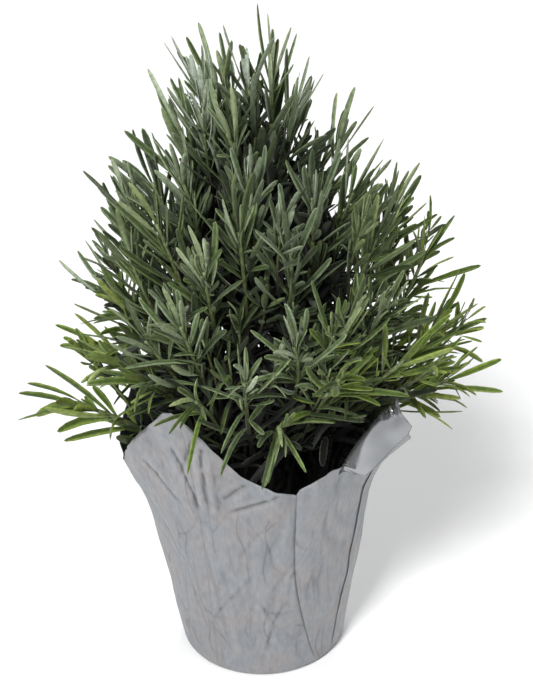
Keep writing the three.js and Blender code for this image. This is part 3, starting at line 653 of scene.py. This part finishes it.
def makePot():
    low, high, wall = pot["floor"], pot["floor"] + pot["height"], pot["wall"]
    heights = np.linspace(low + 2.5, potLipFoot - 1, pot["wallRows"])
    ring = pot["ringDepth"] * np.exp(-((heights - low - pot["ringAt"] * pot["height"]) / pot["ringWidth"]) ** 2)
    outside = np.stack([pot["baseRadius"] + potTaper * (heights - low) + ring, heights], axis=1)
    inside = np.stack([potInside(heights) + ring, heights], axis=1)[::-1]
    base, top, lip = pot["baseRadius"], pot["topRadius"], pot["lipRadius"]
    # its corners are rounded by tenths of a millimetre
    profile = [
        (pot["poleRing"], low), (base - 1.6, low), (base - 0.4, low + 0.5), *outside,
        (top, potLipFoot - 0.2), (lip - 0.6, potLipFoot), (lip, potLipFoot + 0.7),
        (lip, high - 1.6), (lip - 0.15, high - 0.6), (lip - 0.6, high - 0.1),
        (lip - wall + 0.3, high - 0.1), (lip - wall - 0.1, high - 0.6), (lip - wall, potLipFoot + wall + 1),
        (lip - wall - 0.8, potLipFoot + wall), (potInside(potLipFoot), potLipFoot), *inside,
        (potInside(low + wall) - 1, low + wall), (pot["poleRing"], low + wall),
    ]
    points, faces = turned(profile, pot["segments"])
    piece = makePiece("thin_walled_pot", points, faces, [polypropylene], None, ["nursery_pot"])
    drills = []
    for azimuth in around(pot["holeCount"]):
        cylinder = [(pot["holeRadius"], low + height) for height in pot["holeCut"]]
        points, faces = turned(cylinder, pot["holeSegments"])
        drill = makePiece("drill", points + polar(pot["holeCircle"], azimuth, 0), faces, [polypropylene])
        cut = piece.modifiers.new("drain", "BOOLEAN")
        cut.object = drill
        cut.solver = "EXACT"
        drills.append(drill)
    graph = bpy.context.evaluated_depsgraph_get()
    cutMesh = bpy.data.meshes.new_from_object(piece.evaluated_get(graph))
    piece.modifiers.clear()
    piece.data = cutMesh
    for drill in drills:
        bpy.data.objects.remove(drill)


makePot()
print("pot done")


soil = {
    "top": 128, "edgeDrop": 3, "edge": (50, 68), "gap": 0.5, "floorGap": 0.3,
    "lumps": [(22, 3.0), (9, 1.6), (4, 1.0)],
    "segments": 150, "underRadii": [15.0, 40.0], "sideRows": 8, "rings": 46, "innermost": 1.5,
    "shoulder": (0.8, 1),
    # bark crumbs: how many, reach from the axis, rise, roughness, least and most half sizes
    "crumbs": 420, "crumbReach": 65, "crumbRise": 0.2, "crumbRough": 0.25,
    "crumbSizes": ([0.7, 0.5, 0.4], [3.2, 1.5, 0.9]),
    # a crumb is a ring of six points low down, a wider one above it, and two poles
    "crumbSides": 6, "lowRing": 0.8, "ringHeight": 0.35, "crumbPole": 0.8,
}


# Height of the peat's surface: its level, plus value noise of three lump sizes, falling to the edge
def peatHeight(place):
    lumps = sum(depth * (cloud(place, size, 3) - 0.5) for size, depth in soil["lumps"])
    radius = np.hypot(place[..., 0], place[..., 1])
    return soil["top"] + lumps - soil["edgeDrop"] * gone(radius, soil["edge"])


def makeSoil():
    azimuth = around(soil["segments"])
    bottom, top = pot["floor"] + pot["wall"] + soil["floorGap"], soil["top"] - soil["edgeDrop"]
    inset, drop = soil["shoulder"]
    sideHeights = np.linspace(bottom, top - drop, soil["sideRows"])[:, None]
    side = polar(potInside(sideHeights) - soil["gap"], azimuth, sideHeights)
    under = polar(np.array(soil["underRadii"])[:, None], azimuth, bottom)
    radii = np.linspace(potInside(top) - soil["gap"] - inset, soil["innermost"], soil["rings"])[:, None]
    surface = polar(radii, azimuth, 0)
    surface[..., 2] = peatHeight(surface)
    poleHeights = bottom, peatHeight(soil["top"] * up)
    body, groups = closedBody(np.concatenate([under, side, surface]), poleHeights)
    # each crumb is stretched and turned by a draw
    draws = np.random.default_rng(8)
    count, sides = soil["crumbs"], soil["crumbSides"]
    size = 2 * sides + 2
    angles = np.arange(sides) * np.pi / 3
    ring = np.stack([np.cos(angles), np.sin(angles), 0 * angles], axis=1)
    rise, pole = soil["ringHeight"] * up, soil["crumbPole"] * up
    shape = np.concatenate([soil["lowRing"] * ring - rise, ring + rise, [-pole, pole]])
    shape = shape * (1 + soil["crumbRough"] * draws.uniform(-1, 1, (count, size, 1)))
    shape = shape * draws.uniform(*soil["crumbSizes"], (count, 3))[:, None]
    axes, _ = np.linalg.qr(draws.normal(size=(count, 3, 3)))
    axes[:, :, 0] *= np.linalg.det(axes)[:, None]
    reach = soil["crumbReach"] * np.sqrt(draws.uniform(0, 1, count))
    places = polar(reach, draws.uniform(0, 360, count), 0)
    places[:, 2] = peatHeight(places) + soil["crumbRise"]
    crumbs = places[:, None] + np.einsum("nij,nkj->nki", axes, shape)
    ids = numbered(count, size, len(body))
    rings = ids[:, :-2].reshape(count, 2, sides)
    groups += [(gridFaces(rings), 0), (poleFaces(rings[:, 0, ::-1], ids[:, -2:-1]), 0),
               (poleFaces(rings[:, 1], ids[:, -1:]), 0)]
    points = np.concatenate([body, crumbs.reshape(-1, 3)])
    makePiece("peat_fill", points, groups, [peat], None, ["potting_soil"])


makeSoil()
print("soil done")


# The plant: its stems stand by the rule that placed the solids
stem = {
    "rootRadius": 1.9, "tipRadius": 1.2, "taperLength": 250, "rootSpread": 50, "rootCore": 0.22,
    "widestLean": 0.9, "footRise": 0.4, "tipHandle": 45, "depthInSoil": 12, "steps": 48, "clearance": 4.2,
    "insets": [1, 0.85, 0.7],
    "swings": [0, 9, -9, 18, -18, 27, -27, 36, -36, 45, -45, 54, -54, 63, -63],
    # reach of the section's flats and of its corners, in radii
    "section": (0.8, 1.0),
}

# x, y and z of a shoot's tip and of its direction there, and what sets it apart
shootRows = [
    (18, 0, 393, 0.05, 0, 1), (4, -10, 388, -0.2, -0.1, 1), (-14, 12, 380, -0.15, 0.15, 1),
    (-24, -14, 388, -0.45, -0.1, 1), (-38, 0, 362, -0.4, 0, 1), (-8, -32, 365, -0.35, -0.3, 1),
    (31, 0, 368, 0.35, 0, 1), (-36, -30, 340, -0.35, -0.3, 1), (56, 5, 344, 0.2, 0.05, 1),
    (4, -46, 338, 0.05, -0.2, 1), (38, -36, 326, -0.15, -0.25, 1), (63, -10, 318, 0.45, -0.1, 1),
    (-68, 0, 312, -0.2, 0, 1), (24, -70, 308, -0.1, -0.35, 1), (74, -40, 302, 0.3, -0.2, 1),
    (-68, -30, 294, -0.15, -0.2, 1), (-24, -65, 296, -0.05, -0.3, 1), (89, 20, 292, 0.25, 0.1, 1),
    (-50, -46, 318, -0.3, -0.25, 1), (-4, -62, 318, -0.1, -0.3, 1),
    (107, 10, 270, 0.2, 0.05, 1, {"fresh": True}),
    (-38, -80, 270, -0.2, -0.4, 1), (54, -84, 268, 0.2, -0.35, 1), (24, -94, 262, -0.25, -0.5, 1),
    (76, -60, 266, 0.35, -0.35, 1),
    (48, -104, 246, 0.1, -0.8, 0.7, {"droop": 0.15, "fresh": True}),
    (-60, -60, 252, -0.55, -0.4, 1),
    (-78, 0, 250, -0.5, 0, 1, {"fresh": True}),
    (90, -76, 244, 0.8, -0.45, 0.9, {"fresh": True}),
    (-4, -100, 244, 0, -0.6, 0.9, {"droop": 0.1}),
    (-32, -90, 228, -0.25, -0.7, 0.6, {"droop": 0.2}),
    (115, -10, 234, 0.5, -0.1, 1, {"fresh": True}),
    (-82, -22, 219, -0.9, -0.2, 0.6, {"droop": 0.08, "fresh": True, "broad": 1.3}),
    (16, -88, 206, 0.1, -0.9, 0.3, {"droop": 0.3}),
    (-110, -30, 197, -1, -0.2, 0.5, {"droop": 0.06, "turn": 80, "fresh": True, "broad": 1.4}),
    (119, -20, 197, 1, -0.15, 0.45, {"droop": 0.04, "turn": 80, "fresh": True}),
    (96, -6, 184, 0.9, 0.1, 0.3, {"droop": 0.1, "fresh": True}),
    (-64, -62, 228, -0.7, -0.7, 0.6, {"droop": 0.12, "fresh": True}),
]
shoots = [{"tip": row[:3], "aim": row[3:6], **dict(*row[6:])} for row in shootRows]

back = {
    # height, reach, count, rise and freshness of each tier of shoots round the back
    "tiers": [
        (206, 102, 4, 0.6, True), (246, 88, 4, 1.2, False), (286, 76, 4, 1.8, False),
        (324, 58, 3, 2.4, False), (356, 38, 2, 3, False), (376, 22, 1, 5, False)],
    "start": 82, "sweep": 196, "stagger": (0.4, 0.6), "turnSpread": 10, "reachSpread": 10, "heightSpread": 14,
}


def backShoots():
    draw = drawFrom(5)
    made = []
    for level, (height, reach, count, rise, fresh) in enumerate(back["tiers"]):
        for index in range(count):
            share = (index + back["stagger"][level % 2]) / count
            azimuth = back["start"] + back["sweep"] * share + back["turnSpread"] * (draw() - 0.5)
            spread = reach + back["reachSpread"] * (draw() - 0.5)
            tip = polar(spread, azimuth, height + back["heightSpread"] * (draw() - 0.5))
            made.append({"tip": tip, "aim": polar(1, azimuth, rise), "fresh": fresh})
    return made


allShoots = shoots + backShoots()

# Points along stems and leaves, by which pieces are kept clear of each other
beads = {"points": np.zeros((0, 3)), "owners": np.zeros(0, int)}


def addBeads(points, owner):
    beads["points"] = np.concatenate([beads["points"], points])
    beads["owners"] = np.concatenate([beads["owners"], np.full(len(points), owner)])


def crowded(points, gap, owner):
    others = beads["points"][beads["owners"] != owner]
    return len(others) and np.min(np.sum((points[:, None] - others) ** 2, axis=2)) < gap * gap


# How near points come to the cover's wall, taken at the probes down its section
def coverDistance(points):
    azimuth = np.degrees(np.arctan2(points[:, 0], -points[:, 1]))[:, None]
    height = rimAt(azimuth)[0] - cover["probes"]
    radius = np.hypot(points[:, :1], points[:, 1:2])
    return np.min(np.hypot(radius - wallRadius(azimuth, height), points[:, 2:] - height), axis=1)


# A stem's line: a cubic from its foot, straight up at first, to its tip, along its aim
def stemPath(foot, shoot):
    tip = np.array(shoot["tip"], float)
    aim = unit(np.array(shoot["aim"], float))
    knee = foot + up * stem["footRise"] * np.linalg.norm(tip - foot)
    handle = tip - aim * stem["tipHandle"]
    t = np.linspace(0, 1, stem["steps"] + 1)[:, None]
    return (1 - t) ** 3 * foot + 3 * (1 - t) ** 2 * t * knee + 3 * (1 - t) * t * t * handle + t ** 3 * tip


def plantStem(shoot, owner):
    x, y, z = shoot["tip"]
    lean = math.atan2(math.hypot(x, y), z - soil["top"])
    azimuth = math.degrees(math.atan2(x, -y))
    spread = stem["rootCore"] + (1 - stem["rootCore"]) * min(1, lean / stem["widestLean"])
    depth = soil["top"] - stem["depthInSoil"]
    for inset in stem["insets"]:
        for swing in stem["swings"]:
            path = stemPath(polar(inset * stem["rootSpread"] * spread, azimuth + swing, depth), shoot)
            clear = np.min(coverDistance(path)) >= stem["clearance"]
            if clear and not crowded(path, stem["clearance"], owner):
                return path
    return path


# The points and directions on a path at distances back from its last point
def backFromTip(path, distance):
    steps = path[1:] - path[:-1]
    lengths = np.linalg.norm(steps, axis=1)
    fromTip = np.cumsum(lengths[::-1])
    index = np.minimum(np.searchsorted(fromTip, distance), len(steps) - 1)
    segment = len(steps) - 1 - index
    share = (distance - (fromTip[index] - lengths[segment])) / lengths[segment]
    point = path[segment + 1] - share[:, None] * steps[segment]
    return point, steps[segment] / lengths[segment][:, None]


# The two directions square to a stem from which azimuths round it are counted
def across(along):
    right = unit(np.cross([0.0, 1.0, 0.0], along))
    return right, np.cross(along, right)


# Blades that stand on an axis: each leans out from it by its tilt, at its azimuth round it
def blades(point, axis, azimuth, tilt, length, offset, **traits):
    right, forward = across(axis)
    turn, lean = np.radians(azimuth)[:, None], np.radians(tilt)[:, None]
    out = right * np.cos(turn) + forward * np.sin(turn)
    made = {
        "root": point + out * offset,
        "direction": axis * np.cos(lean) + out * np.sin(lean),
        "inward": axis * np.sin(lean) - out * np.cos(lean),
        "length": length,
    }
    for name, value in traits.items():
        made[name] = np.broadcast_to(np.asarray(value, float), len(point)).copy()
    return made


# A leaf's middle line: straight out, bent towards the stem, down and aside with the square of the way
def leafLine(leaf, share):
    root, direction, inward = (leaf[key][:, None] for key in ("root", "direction", "inward"))
    length, curl, sway, droop = (leaf[key][:, None, None] for key in ("length", "curl", "sway", "droop"))
    s = share[None, :, None]
    bend = inward * curl + np.cross(inward, direction) * sway - up * droop
    return root + direction * length * s + bend * length * s * s


leafRule = {
    "nodes": [0, 10, 25, 44, 68], "tilts": [4, 20, 31, 41, 50], "lengths": [34, 41, 47, 50, 52],
    "turnSpread": 14, "tiltDraw": (0.85, 0.3), "lengthDraw": (0.88, 0.24),
    "turnSeed": 1000, "leafSeed": 2000, "seedStep": 37,
    "clearance": 4.5, "homeClearance": 3.2, "beads": 12, "footBeads": 4, "curl": 0.1, "droop": 0.02,
    # swing in degrees, share of the tilt, share of the length
    "choices": [(0, 1, 1), (14, 1, 1), (-14, 1, 1), (0, 0.7, 1), (26, 1, 1), (-26, 1, 1), (0, 1.25, 1),
                (18, 0.7, 0.85), (-18, 0.7, 0.85), (0, 1, 0.7)],
}


def firstPair(owner):
    turn = allShoots[owner].get("turn")
    return 360 * drawFrom(leafRule["turnSeed"] + leafRule["seedStep"] * owner)() if turn is None else turn


# The solids' own leaves, in pairs square to one another, by the rule that placed them there
def mainLeaves(path, shoot, owner):
    draw = drawFrom(leafRule["leafSeed"] + leafRule["seedStep"] * owner)
    (tiltLeast, tiltSpread), (lengthLeast, lengthSpread) = leafRule["tiltDraw"], leafRule["lengthDraw"]
    kept, outers = [], np.zeros((0, 3))
    beadShares = (1 + np.arange(leafRule["beads"])) / leafRule["beads"]
    for level, distance in enumerate(leafRule["nodes"]):
        for opposite in ([0] if level == 0 else [0, 2]):
            azimuth = firstPair(owner) + 90 * ((level + opposite) % 4) + leafRule["turnSpread"] * (draw() - 0.5)
            tilt = leafRule["tilts"][level] * (tiltLeast + tiltSpread * draw())
            length = leafRule["lengths"][level] * (lengthLeast + lengthSpread * draw())
            point, along = backFromTip(path, np.array([float(distance)]))
            offset = stem["tipRadius"] * math.sqrt(0.5) if distance > 0 else 0
            for swing, lean, share in leafRule["choices"]:
                leaf = blades(point, along, np.array([azimuth + swing]), np.array([tilt * lean]),
                              np.array([length * share]), offset, curl=leafRule["curl"],
                              droop=shoot.get("droop", leafRule["droop"]), sway=0, back=distance)
                points = leafLine(leaf, beadShares)[0]
                outer = points[leafRule["footBeads"]:]
                apart = np.linalg.norm(outer[:, None] - outers, axis=2)
                if not crowded(points, leafRule["clearance"], owner) \
                        and np.min(apart, initial=math.inf) >= leafRule["homeClearance"] \
                        and np.min(coverDistance(points)) >= leafRule["clearance"]:
                    kept.append(leaf)
                    outers = np.concatenate([outers, outer])
                    addBeads(points, owner)
                    break
    return kept


foliage = {
    # the share of a blade's length, and its width there
    "outline": np.array([(0, 0.34), (0.12, 0.52), (0.36, 0.9), (0.62, 1.0), (0.86, 0.85), (0.965, 0.5)]),
    # across a blade: edge, shoulder, groove, shoulder, edge, underside, in half widths and
    # thicknesses, and the way round it that the material reads
    "section": np.array([(1, -0.5, 0.5), (0.66, 0.5, 0.2), (0, 0.12, 0.0), (-0.66, 0.5, 0.2),
                         (-1, -0.5, 0.5), (0, -0.32, 1.0)]),
    "tipWayRound": 0.4,
    "halfWidth": 2.0, "thickness": 1.25,
}


# Closed blades on grids of sections along their lines: the section's frame is the line's tangent,
# the inward direction square to it and their cross product, turned by the blade's twist on the way
def bladeMesh(leaf, firstId):
    shares, widths = foliage["outline"].T
    aside, height, wayRound = foliage["section"].T
    line = leafLine(leaf, shares)
    tangent = unit(np.gradient(line, shares, axis=1))
    inward = leaf["inward"][:, None]
    normal = unit(inward - tangent * np.sum(inward * tangent, axis=2, keepdims=True))
    side = np.cross(normal, tangent)
    twist = (leaf["twist"][:, None] * np.sqrt(shares))[..., None]
    normal, side = normal * np.cos(twist) - side * np.sin(twist), side * np.cos(twist) + normal * np.sin(twist)
    half = (leaf["halfWidth"][:, None] * widths)[..., None, None]
    thick = foliage["thickness"] * (0.5 + 0.5 * widths)[None, :, None, None] * (half / half.max())
    rings = line[:, :, None] + side[:, :, None] * aside[:, None] * half
    rings = rings + normal[:, :, None] * height[:, None] * thick
    tips = leafLine(leaf, np.array([1.0]))
    count, rows, columns = rings.shape[:3]
    points = np.concatenate([rings.reshape(count, -1, 3), tips], axis=1)
    ids = numbered(count, rows * columns + 1, firstId)
    grid = ids[:, :-1].reshape(count, rows, columns)
    faces = [(gridFaces(grid), 0), (poleFaces(grid[:, -1], ids[:, -1:]), 0), (grid[:, 0, ::-1], 0)]
    tones = np.ones((*ids.shape, 4))
    tones[..., 0] = leaf["fresh"][:, None]
    tones[..., 1] = leaf["ownTone"][:, None]
    tones[:, :-1, 2] = np.tile(wayRound, rows)
    tones[:, -1, 2] = foliage["tipWayRound"]
    tones[:, :-1, 3] = np.repeat(shares, columns)
    return points.reshape(-1, 3), faces, tones.reshape(-1, 4)


# Stems are tubes of a rounded square section, as the mint family's are, carried along their path.
# The corners stand at 45 degrees to the first pair of leaves.
def tubeMesh(path, radius, turn, firstId):
    along = unit(np.gradient(path, axis=0))
    right, forward = across(along)
    reach = np.tile(stem["section"], 4)
    sides = len(reach)
    angles = np.radians(turn + around(sides))[:, None]
    reach = reach[:, None] * radius[:, None, None]
    rings = path[:, None] + reach * (right[:, None] * np.cos(angles) + forward[:, None] * np.sin(angles))
    tip = path[-1] + along[-1] * radius[-1]
    points = np.concatenate([rings.reshape(-1, 3), [tip]])
    ids = numbered(len(path), sides, firstId)
    faces = [(gridFaces(ids), 1), (poleFaces(ids[-1], firstId + len(points) - 1), 1), (ids[:1, ::-1], 1)]
    tones = np.ones((len(points), 4))
    tones[:-1, 3] = np.repeat(np.linspace(0, 1, len(path)), sides)
    return points, faces, tones


growth = {
    "seed": 500,
    # distances back from the tip of the pairs that the solids don't have, and of the tufts
    "pairs": np.array([3, 6, 17, 34, 56, 80, 92, 104, 117, 130, 145, 160, 178, 194, 210, 228, 246.0]),
    "tufts": np.array([16, 30, 48, 70, 96.0]), "bare": 44, "tuftLeaves": 2,
    "pairTilts": ([0, 20, 60, 110, 200], [10, 24, 40, 52, 60]), "steepest": 85,
    "pairLengths": ([0, 20, 60, 120, 200], [22, 36, 44, 40, 34]),
    "tuftLengths": ([0, 40, 150], [0.7, 1.1, 0.9]),
    # a leaf's foot stands off the middle of its stem, bud or twig
    "pairOffset": 0.7, "budOffset": 1.0, "tuftOffset": 0.2,
    # ranges of the draws
    "pairDraws": {"turn": (-16, 16), "tilt": (0.75, 1.25), "length": (0.82, 1.12), "droop": (-0.04, 0.08),
                  "sway": (-0.12, 0.12), "curl": (-0.22, 0.22)},
    "tuftDraws": {"turn": (-12, 12), "lean": (20, 40), "length": (9, 25), "rise": (0, 4),
                  "azimuth": (0, 360), "tilt": (6, 38), "droop": (0, 0.06), "curl": (-0.05, 0.2),
                  "sway": (-0.05, 0.05)},
    "ownDraws": {"sway": (-0.12, 0.12), "curl": (-0.24, 0.14)},
    "leafDraws": {"width": (0.82, 1.12), "green": (-0.12, 0.12), "twist": (-0.4, 0.4), "bright": (0.4, 1),
                  "shadow": (0, 1)},
    "stemGreen": (-0.26, 0.42), "stemBright": (-0.14, 0.08),
    # shoots whose leaves droop by more than this spread them further
    "splay": 5, "splayFrom": 0.1,
    # side branches: distances back from the tip, how much of the foot bears none, and their own sizes
    "branches": np.array([92, 128, 166.0]), "branchless": 60, "branchTurn": 137.5, "branchSpread": (-20, 20),
    "branchLength": (44, 70), "branchTilt": (20, 38), "branchBend": {"curl": 0.3, "droop": -0.12, "sway": 0.0},
    "branchSize": (0.62, 0.85), "branchRadii": (1.1, 0.7), "branchPoints": 13,
    "branchPairs": np.array([0, 6, 14, 25, 38.0]), "branchTufts": np.array([14, 26.0]), "branchBack": 22,
    # shoots with their tip below a height bear one more, nearer the tip
    "bushyBelow": 310, "lowBranch": 56.0,
    # low leaves bend over and are narrower, and some are left out in front
    "low": (285, 215), "lowDroop": 0.36, "lowBend": 0.32, "lowSway": 1.2, "extraDroop": 0.6,
    "lowWidth": 0.62, "lowThinned": 0.4, "thinnedFrom": -25,
    "widthByLength": ([8, 20, 40], [0.45, 0.75, 1.0]), "widthAt": ([250, 330, 370], [1.14, 1.07, 0.9]),
    "freshWidth": 0.86, "dullWidth": 1.4, "widest": 3.2,
    "coverGap": 3.2, "gapPoints": 16,
    # the plant is brighter green low down, and more so in its fresh growth
    "green": (370, 220), "leastGreen": 0.1, "lowGreen": 0.52, "freshGreen": 0.72,
    # leaves far back from the tip, or deep in the bush, are wider and darkened with painted shade
    "ageAndPaintedShade": (38, 86), "deep": (14, 42), "bush": ([150, 200, 260, 330, 400], [100, 112, 98, 66, 28]), "axis": 6,
    # painted light and shade: fresh shoots a little darker, shaded leaves' darkness by height, and all leaves
    # lighter or darker by height
    "freshShade": 0.9, "dimAt": ([220, 300], [0.02, 0.11]),
    "brightAt": ([200, 240, 280, 340, 390], [1.28, 1.12, 0.86, 1.1, 1.42]),
    # how far the light comes from above, how far leaves stray from it, and how far they turn to it
    "skyward": 0.6, "anyWay": 0.9, "lightTurn": 0.75,
}


def lowness(points):
    return gone(points[:, 2], growth["low"])


# How fresh the growth is at a place: its stem's own, and brighter green low on the plant
def freshAt(points, shoot):
    own = growth["freshGreen"] if shoot.get("fresh") else 0
    return np.clip(growth["leastGreen"] + growth["lowGreen"] * gone(points[:, 2], growth["green"]) + own, 0, 1)


# A function that draws a value for each of a number of leaves from a named range
def drawer(draws, ranges, count):
    return lambda name: draws.uniform(*ranges[name], count)


# Azimuths of leaves up a stem, two by two on opposite sides of it
def opposites(turn, count):
    return turn + 90 * np.arange(count) + 90 * (np.arange(count) % 2)


# Leaves in pairs up an axis, with lean and length by distance from its tip
def pairsOn(path, distances, turn, scale, shoot, draws):
    count = 2 * len(distances)
    drawn = drawer(draws, growth["pairDraws"], count)
    distance = np.repeat(distances, 2)
    point, along = backFromTip(path, distance)
    low = lowness(point)
    azimuth = opposites(turn, count) + drawn("turn")
    splay = 1 + growth["splay"] * max(0, shoot.get("droop", 0) - growth["splayFrom"])
    tilt = np.minimum(splay * np.interp(distance, *growth["pairTilts"]), growth["steepest"]) * drawn("tilt")
    length = scale * np.interp(distance, *growth["pairLengths"]) * drawn("length")
    droop = growth["extraDroop"] * shoot.get("droop", leafRule["droop"]) + drawn("droop")
    droop = droop + low * draws.uniform(0, growth["lowDroop"], count)
    sway = drawn("sway") * (1 + growth["lowSway"] * low)
    curl = drawn("curl") - growth["lowBend"] * low
    return blades(point, along, azimuth, tilt, length, growth["pairOffset"], droop=droop, sway=sway,
                  curl=curl, back=distance)


# Young leaves in the angle over each leaf: short blades round an axis that leans out of the stem
def tuftsOn(path, distances, turn, draws):
    each = growth["tuftLeaves"]
    sides = np.repeat(opposites(turn, 2 * len(distances)), each)
    count = len(sides)
    drawn = drawer(draws, growth["tuftDraws"], count)
    distance = np.repeat(distances, 2 * each)
    point, along = backFromTip(path, distance)
    bud = blades(point, along, sides + drawn("turn"), drawn("lean"), np.ones(count), growth["budOffset"])
    length = drawn("length") * np.interp(distance, *growth["tuftLengths"])
    root = bud["root"] + bud["direction"] * drawn("rise")[:, None]
    return blades(root, bud["direction"], drawn("azimuth"), drawn("tilt"), length, growth["tuftOffset"],
                  droop=drawn("droop"), curl=drawn("curl"), sway=drawn("sway"), back=distance)


def joined(leaves):
    return {key: np.concatenate([leaf[key] for leaf in leaves]) for key in leaves[0]}


# Which leaves keep off the cover's wall along their length
def offCover(leaf):
    points = leafLine(leaf, np.linspace(0, 1, growth["gapPoints"]))
    return np.min(coverDistance(points.reshape(-1, 3)).reshape(points.shape[:2]), axis=1) > growth["coverGap"]


# Gives blades what only the fine ones have: a width from their length, a twist, and their tones with painted
# light and shade
def dressed(leaf, shoot, draws):
    count = len(leaf["length"])
    drawn = drawer(draws, growth["leafDraws"], count)
    root, height, fresh = leaf["root"], leaf["root"][:, 2], shoot.get("fresh")
    lowWidth = shoot.get("broad", growth["freshWidth"] if fresh else growth["lowWidth"])
    width = foliage["halfWidth"] * np.interp(leaf["length"], *growth["widthByLength"]) * drawn("width")
    width = width * (1 + (lowWidth - 1) * lowness(root)) * np.interp(height, *growth["widthAt"])
    stemGreen = draws.uniform(*growth["stemGreen"])
    leaf["fresh"] = np.clip(freshAt(root, shoot) + stemGreen + drawn("green"), 0, 1)
    middle = root + 0.5 * leaf["direction"] * leaf["length"][:, None]
    middle[:, 0] -= growth["axis"]
    inside = np.interp(middle[:, 2], *growth["bush"]) - np.hypot(middle[:, 0], middle[:, 1])
    # a blade turns its face to the light, out of the bush and up, by part of the angle to it
    light = unit(middle * [1, 1, 0]) + growth["skyward"] * up
    light = light + growth["anyWay"] * draws.uniform(-1, 1, (count, 3)) * [1, 1, 0]
    side = np.cross(leaf["inward"], leaf["direction"])
    toLight = np.arctan2(-np.sum(light * side, axis=1), np.sum(light * leaf["inward"], axis=1))
    toLight = (toLight + np.pi / 2) % np.pi - np.pi / 2
    leaf["twist"] = growth["lightTurn"] * toLight + drawn("twist")
    ageAndPaintedShade = np.maximum(gone(leaf["back"], growth["ageAndPaintedShade"]), gone(inside, growth["deep"]))
    leaf["halfWidth"] = np.minimum(width * (1 + (growth["dullWidth"] - 1) * ageAndPaintedShade), growth["widest"])
    # painted light and shade: a random brightness scaled by height, and painted shade on leaves far back from
    # the tip or deep in the bush
    bright = drawn("bright") + draws.uniform(*growth["stemBright"])
    bright *= np.interp(height, *growth["brightAt"]) * (growth["freshShade"] if fresh else 1)
    shadow = drawn("shadow") * np.interp(height, *growth["dimAt"])
    leaf["ownTone"] = np.clip(bright * (1 - ageAndPaintedShade) + shadow * ageAndPaintedShade, 0, 1)
    return leaf


def pathLength(path):
    return np.sum(np.linalg.norm(np.diff(path, axis=0), axis=1))


def branchesOn(path, turn, shoot, draws):
    distances = growth["branches"][growth["branches"] < pathLength(path) - growth["branchless"]]
    if shoot["tip"][2] < growth["bushyBelow"]:
        distances = np.append(distances, growth["lowBranch"])
    made = []
    for index, distance in enumerate(distances):
        point, along = backFromTip(path, np.array([distance]))
        azimuth = turn + growth["branchTurn"] * index + draws.uniform(*growth["branchSpread"], 1)
        start = blades(point, along, azimuth, draws.uniform(*growth["branchTilt"], 1),
                       draws.uniform(*growth["branchLength"], 1), 0.0, **growth["branchBend"])
        made.append(leafLine(start, np.linspace(0, 1, growth["branchPoints"]))[0])
    return made


def makeLeafyStem(path, own, shoot, owner):
    draws = np.random.default_rng(growth["seed"] + owner)
    turn = firstPair(owner)
    length = pathLength(path)
    # the fine leaves bend more than the solids' straight ones, where that keeps them off the cover
    own = joined(own)
    drawn = drawer(draws, growth["ownDraws"], len(own["length"]))
    bent = {key: own[key] + drawn(key) for key in growth["ownDraws"]}
    free = offCover({**own, **bent})
    own.update({key: np.where(free, values, own[key]) for key, values in bent.items()})
    pairs, tufts = (growth[key][growth[key] < length - growth["bare"]] for key in ("pairs", "tufts"))
    extra = [pairsOn(path, pairs, turn + 45, 1.0, shoot, draws), tuftsOn(path, tufts, turn, draws)]
    taper = np.interp(np.linspace(length, 0, len(path)), [0, stem["taperLength"]],
                      [stem["tipRadius"], stem["rootRadius"]])
    tubes = [(path, taper)]
    for branch in branchesOn(path, turn, shoot, draws):
        size = draws.uniform(*growth["branchSize"])
        grown = [pairsOn(branch, growth["branchPairs"], draws.uniform(0, 360), size, shoot, draws),
                 tuftsOn(branch, growth["branchTufts"], draws.uniform(0, 360), draws)]
        for leaf in grown:
            leaf["back"] += growth["branchBack"]
        extra += grown
        tubes.append((branch, np.linspace(*growth["branchRadii"], len(branch))))
    extra = joined(extra)
    thinned = draws.uniform(0, 1, len(extra["length"])) < growth["lowThinned"] * lowness(extra["root"])
    free = offCover(extra) & ~(thinned & (extra["root"][:, 1] < growth["thinnedFrom"]))
    leaves = joined([own, {key: values[free] for key, values in extra.items()}])
    parts, total = [], 0
    for line, radius in tubes:
        parts.append(tubeMesh(line, radius, turn, total))
        total += len(parts[-1][0])
    parts.append(bladeMesh(dressed(leaves, shoot, draws), total))
    points, groups, tones = zip(*parts)
    number = f"{owner + 1:02d}"
    makePiece(f"lavender_stem_{number}", np.concatenate(points), sum(groups, []), [leafFelt, stemBark],
              np.concatenate(tones), [f"leafy_stem_{number}"])
    return len(own["length"]), len(leaves["length"])


paths = []
for owner, shoot in enumerate(allShoots):
    paths.append(plantStem(shoot, owner))
    addBeads(paths[-1], owner)
print("stems planted")
ownLeaves = [mainLeaves(path, shoot, owner) for owner, (path, shoot) in enumerate(zip(paths, allShoots))]
counts = [makeLeafyStem(*given, owner) for owner, given in enumerate(zip(paths, ownLeaves, allShoots))]
asSolids, inAll = np.sum(counts, axis=0)
print("plant done:", asSolids, "leaves as the solids have,", inAll, "in all")
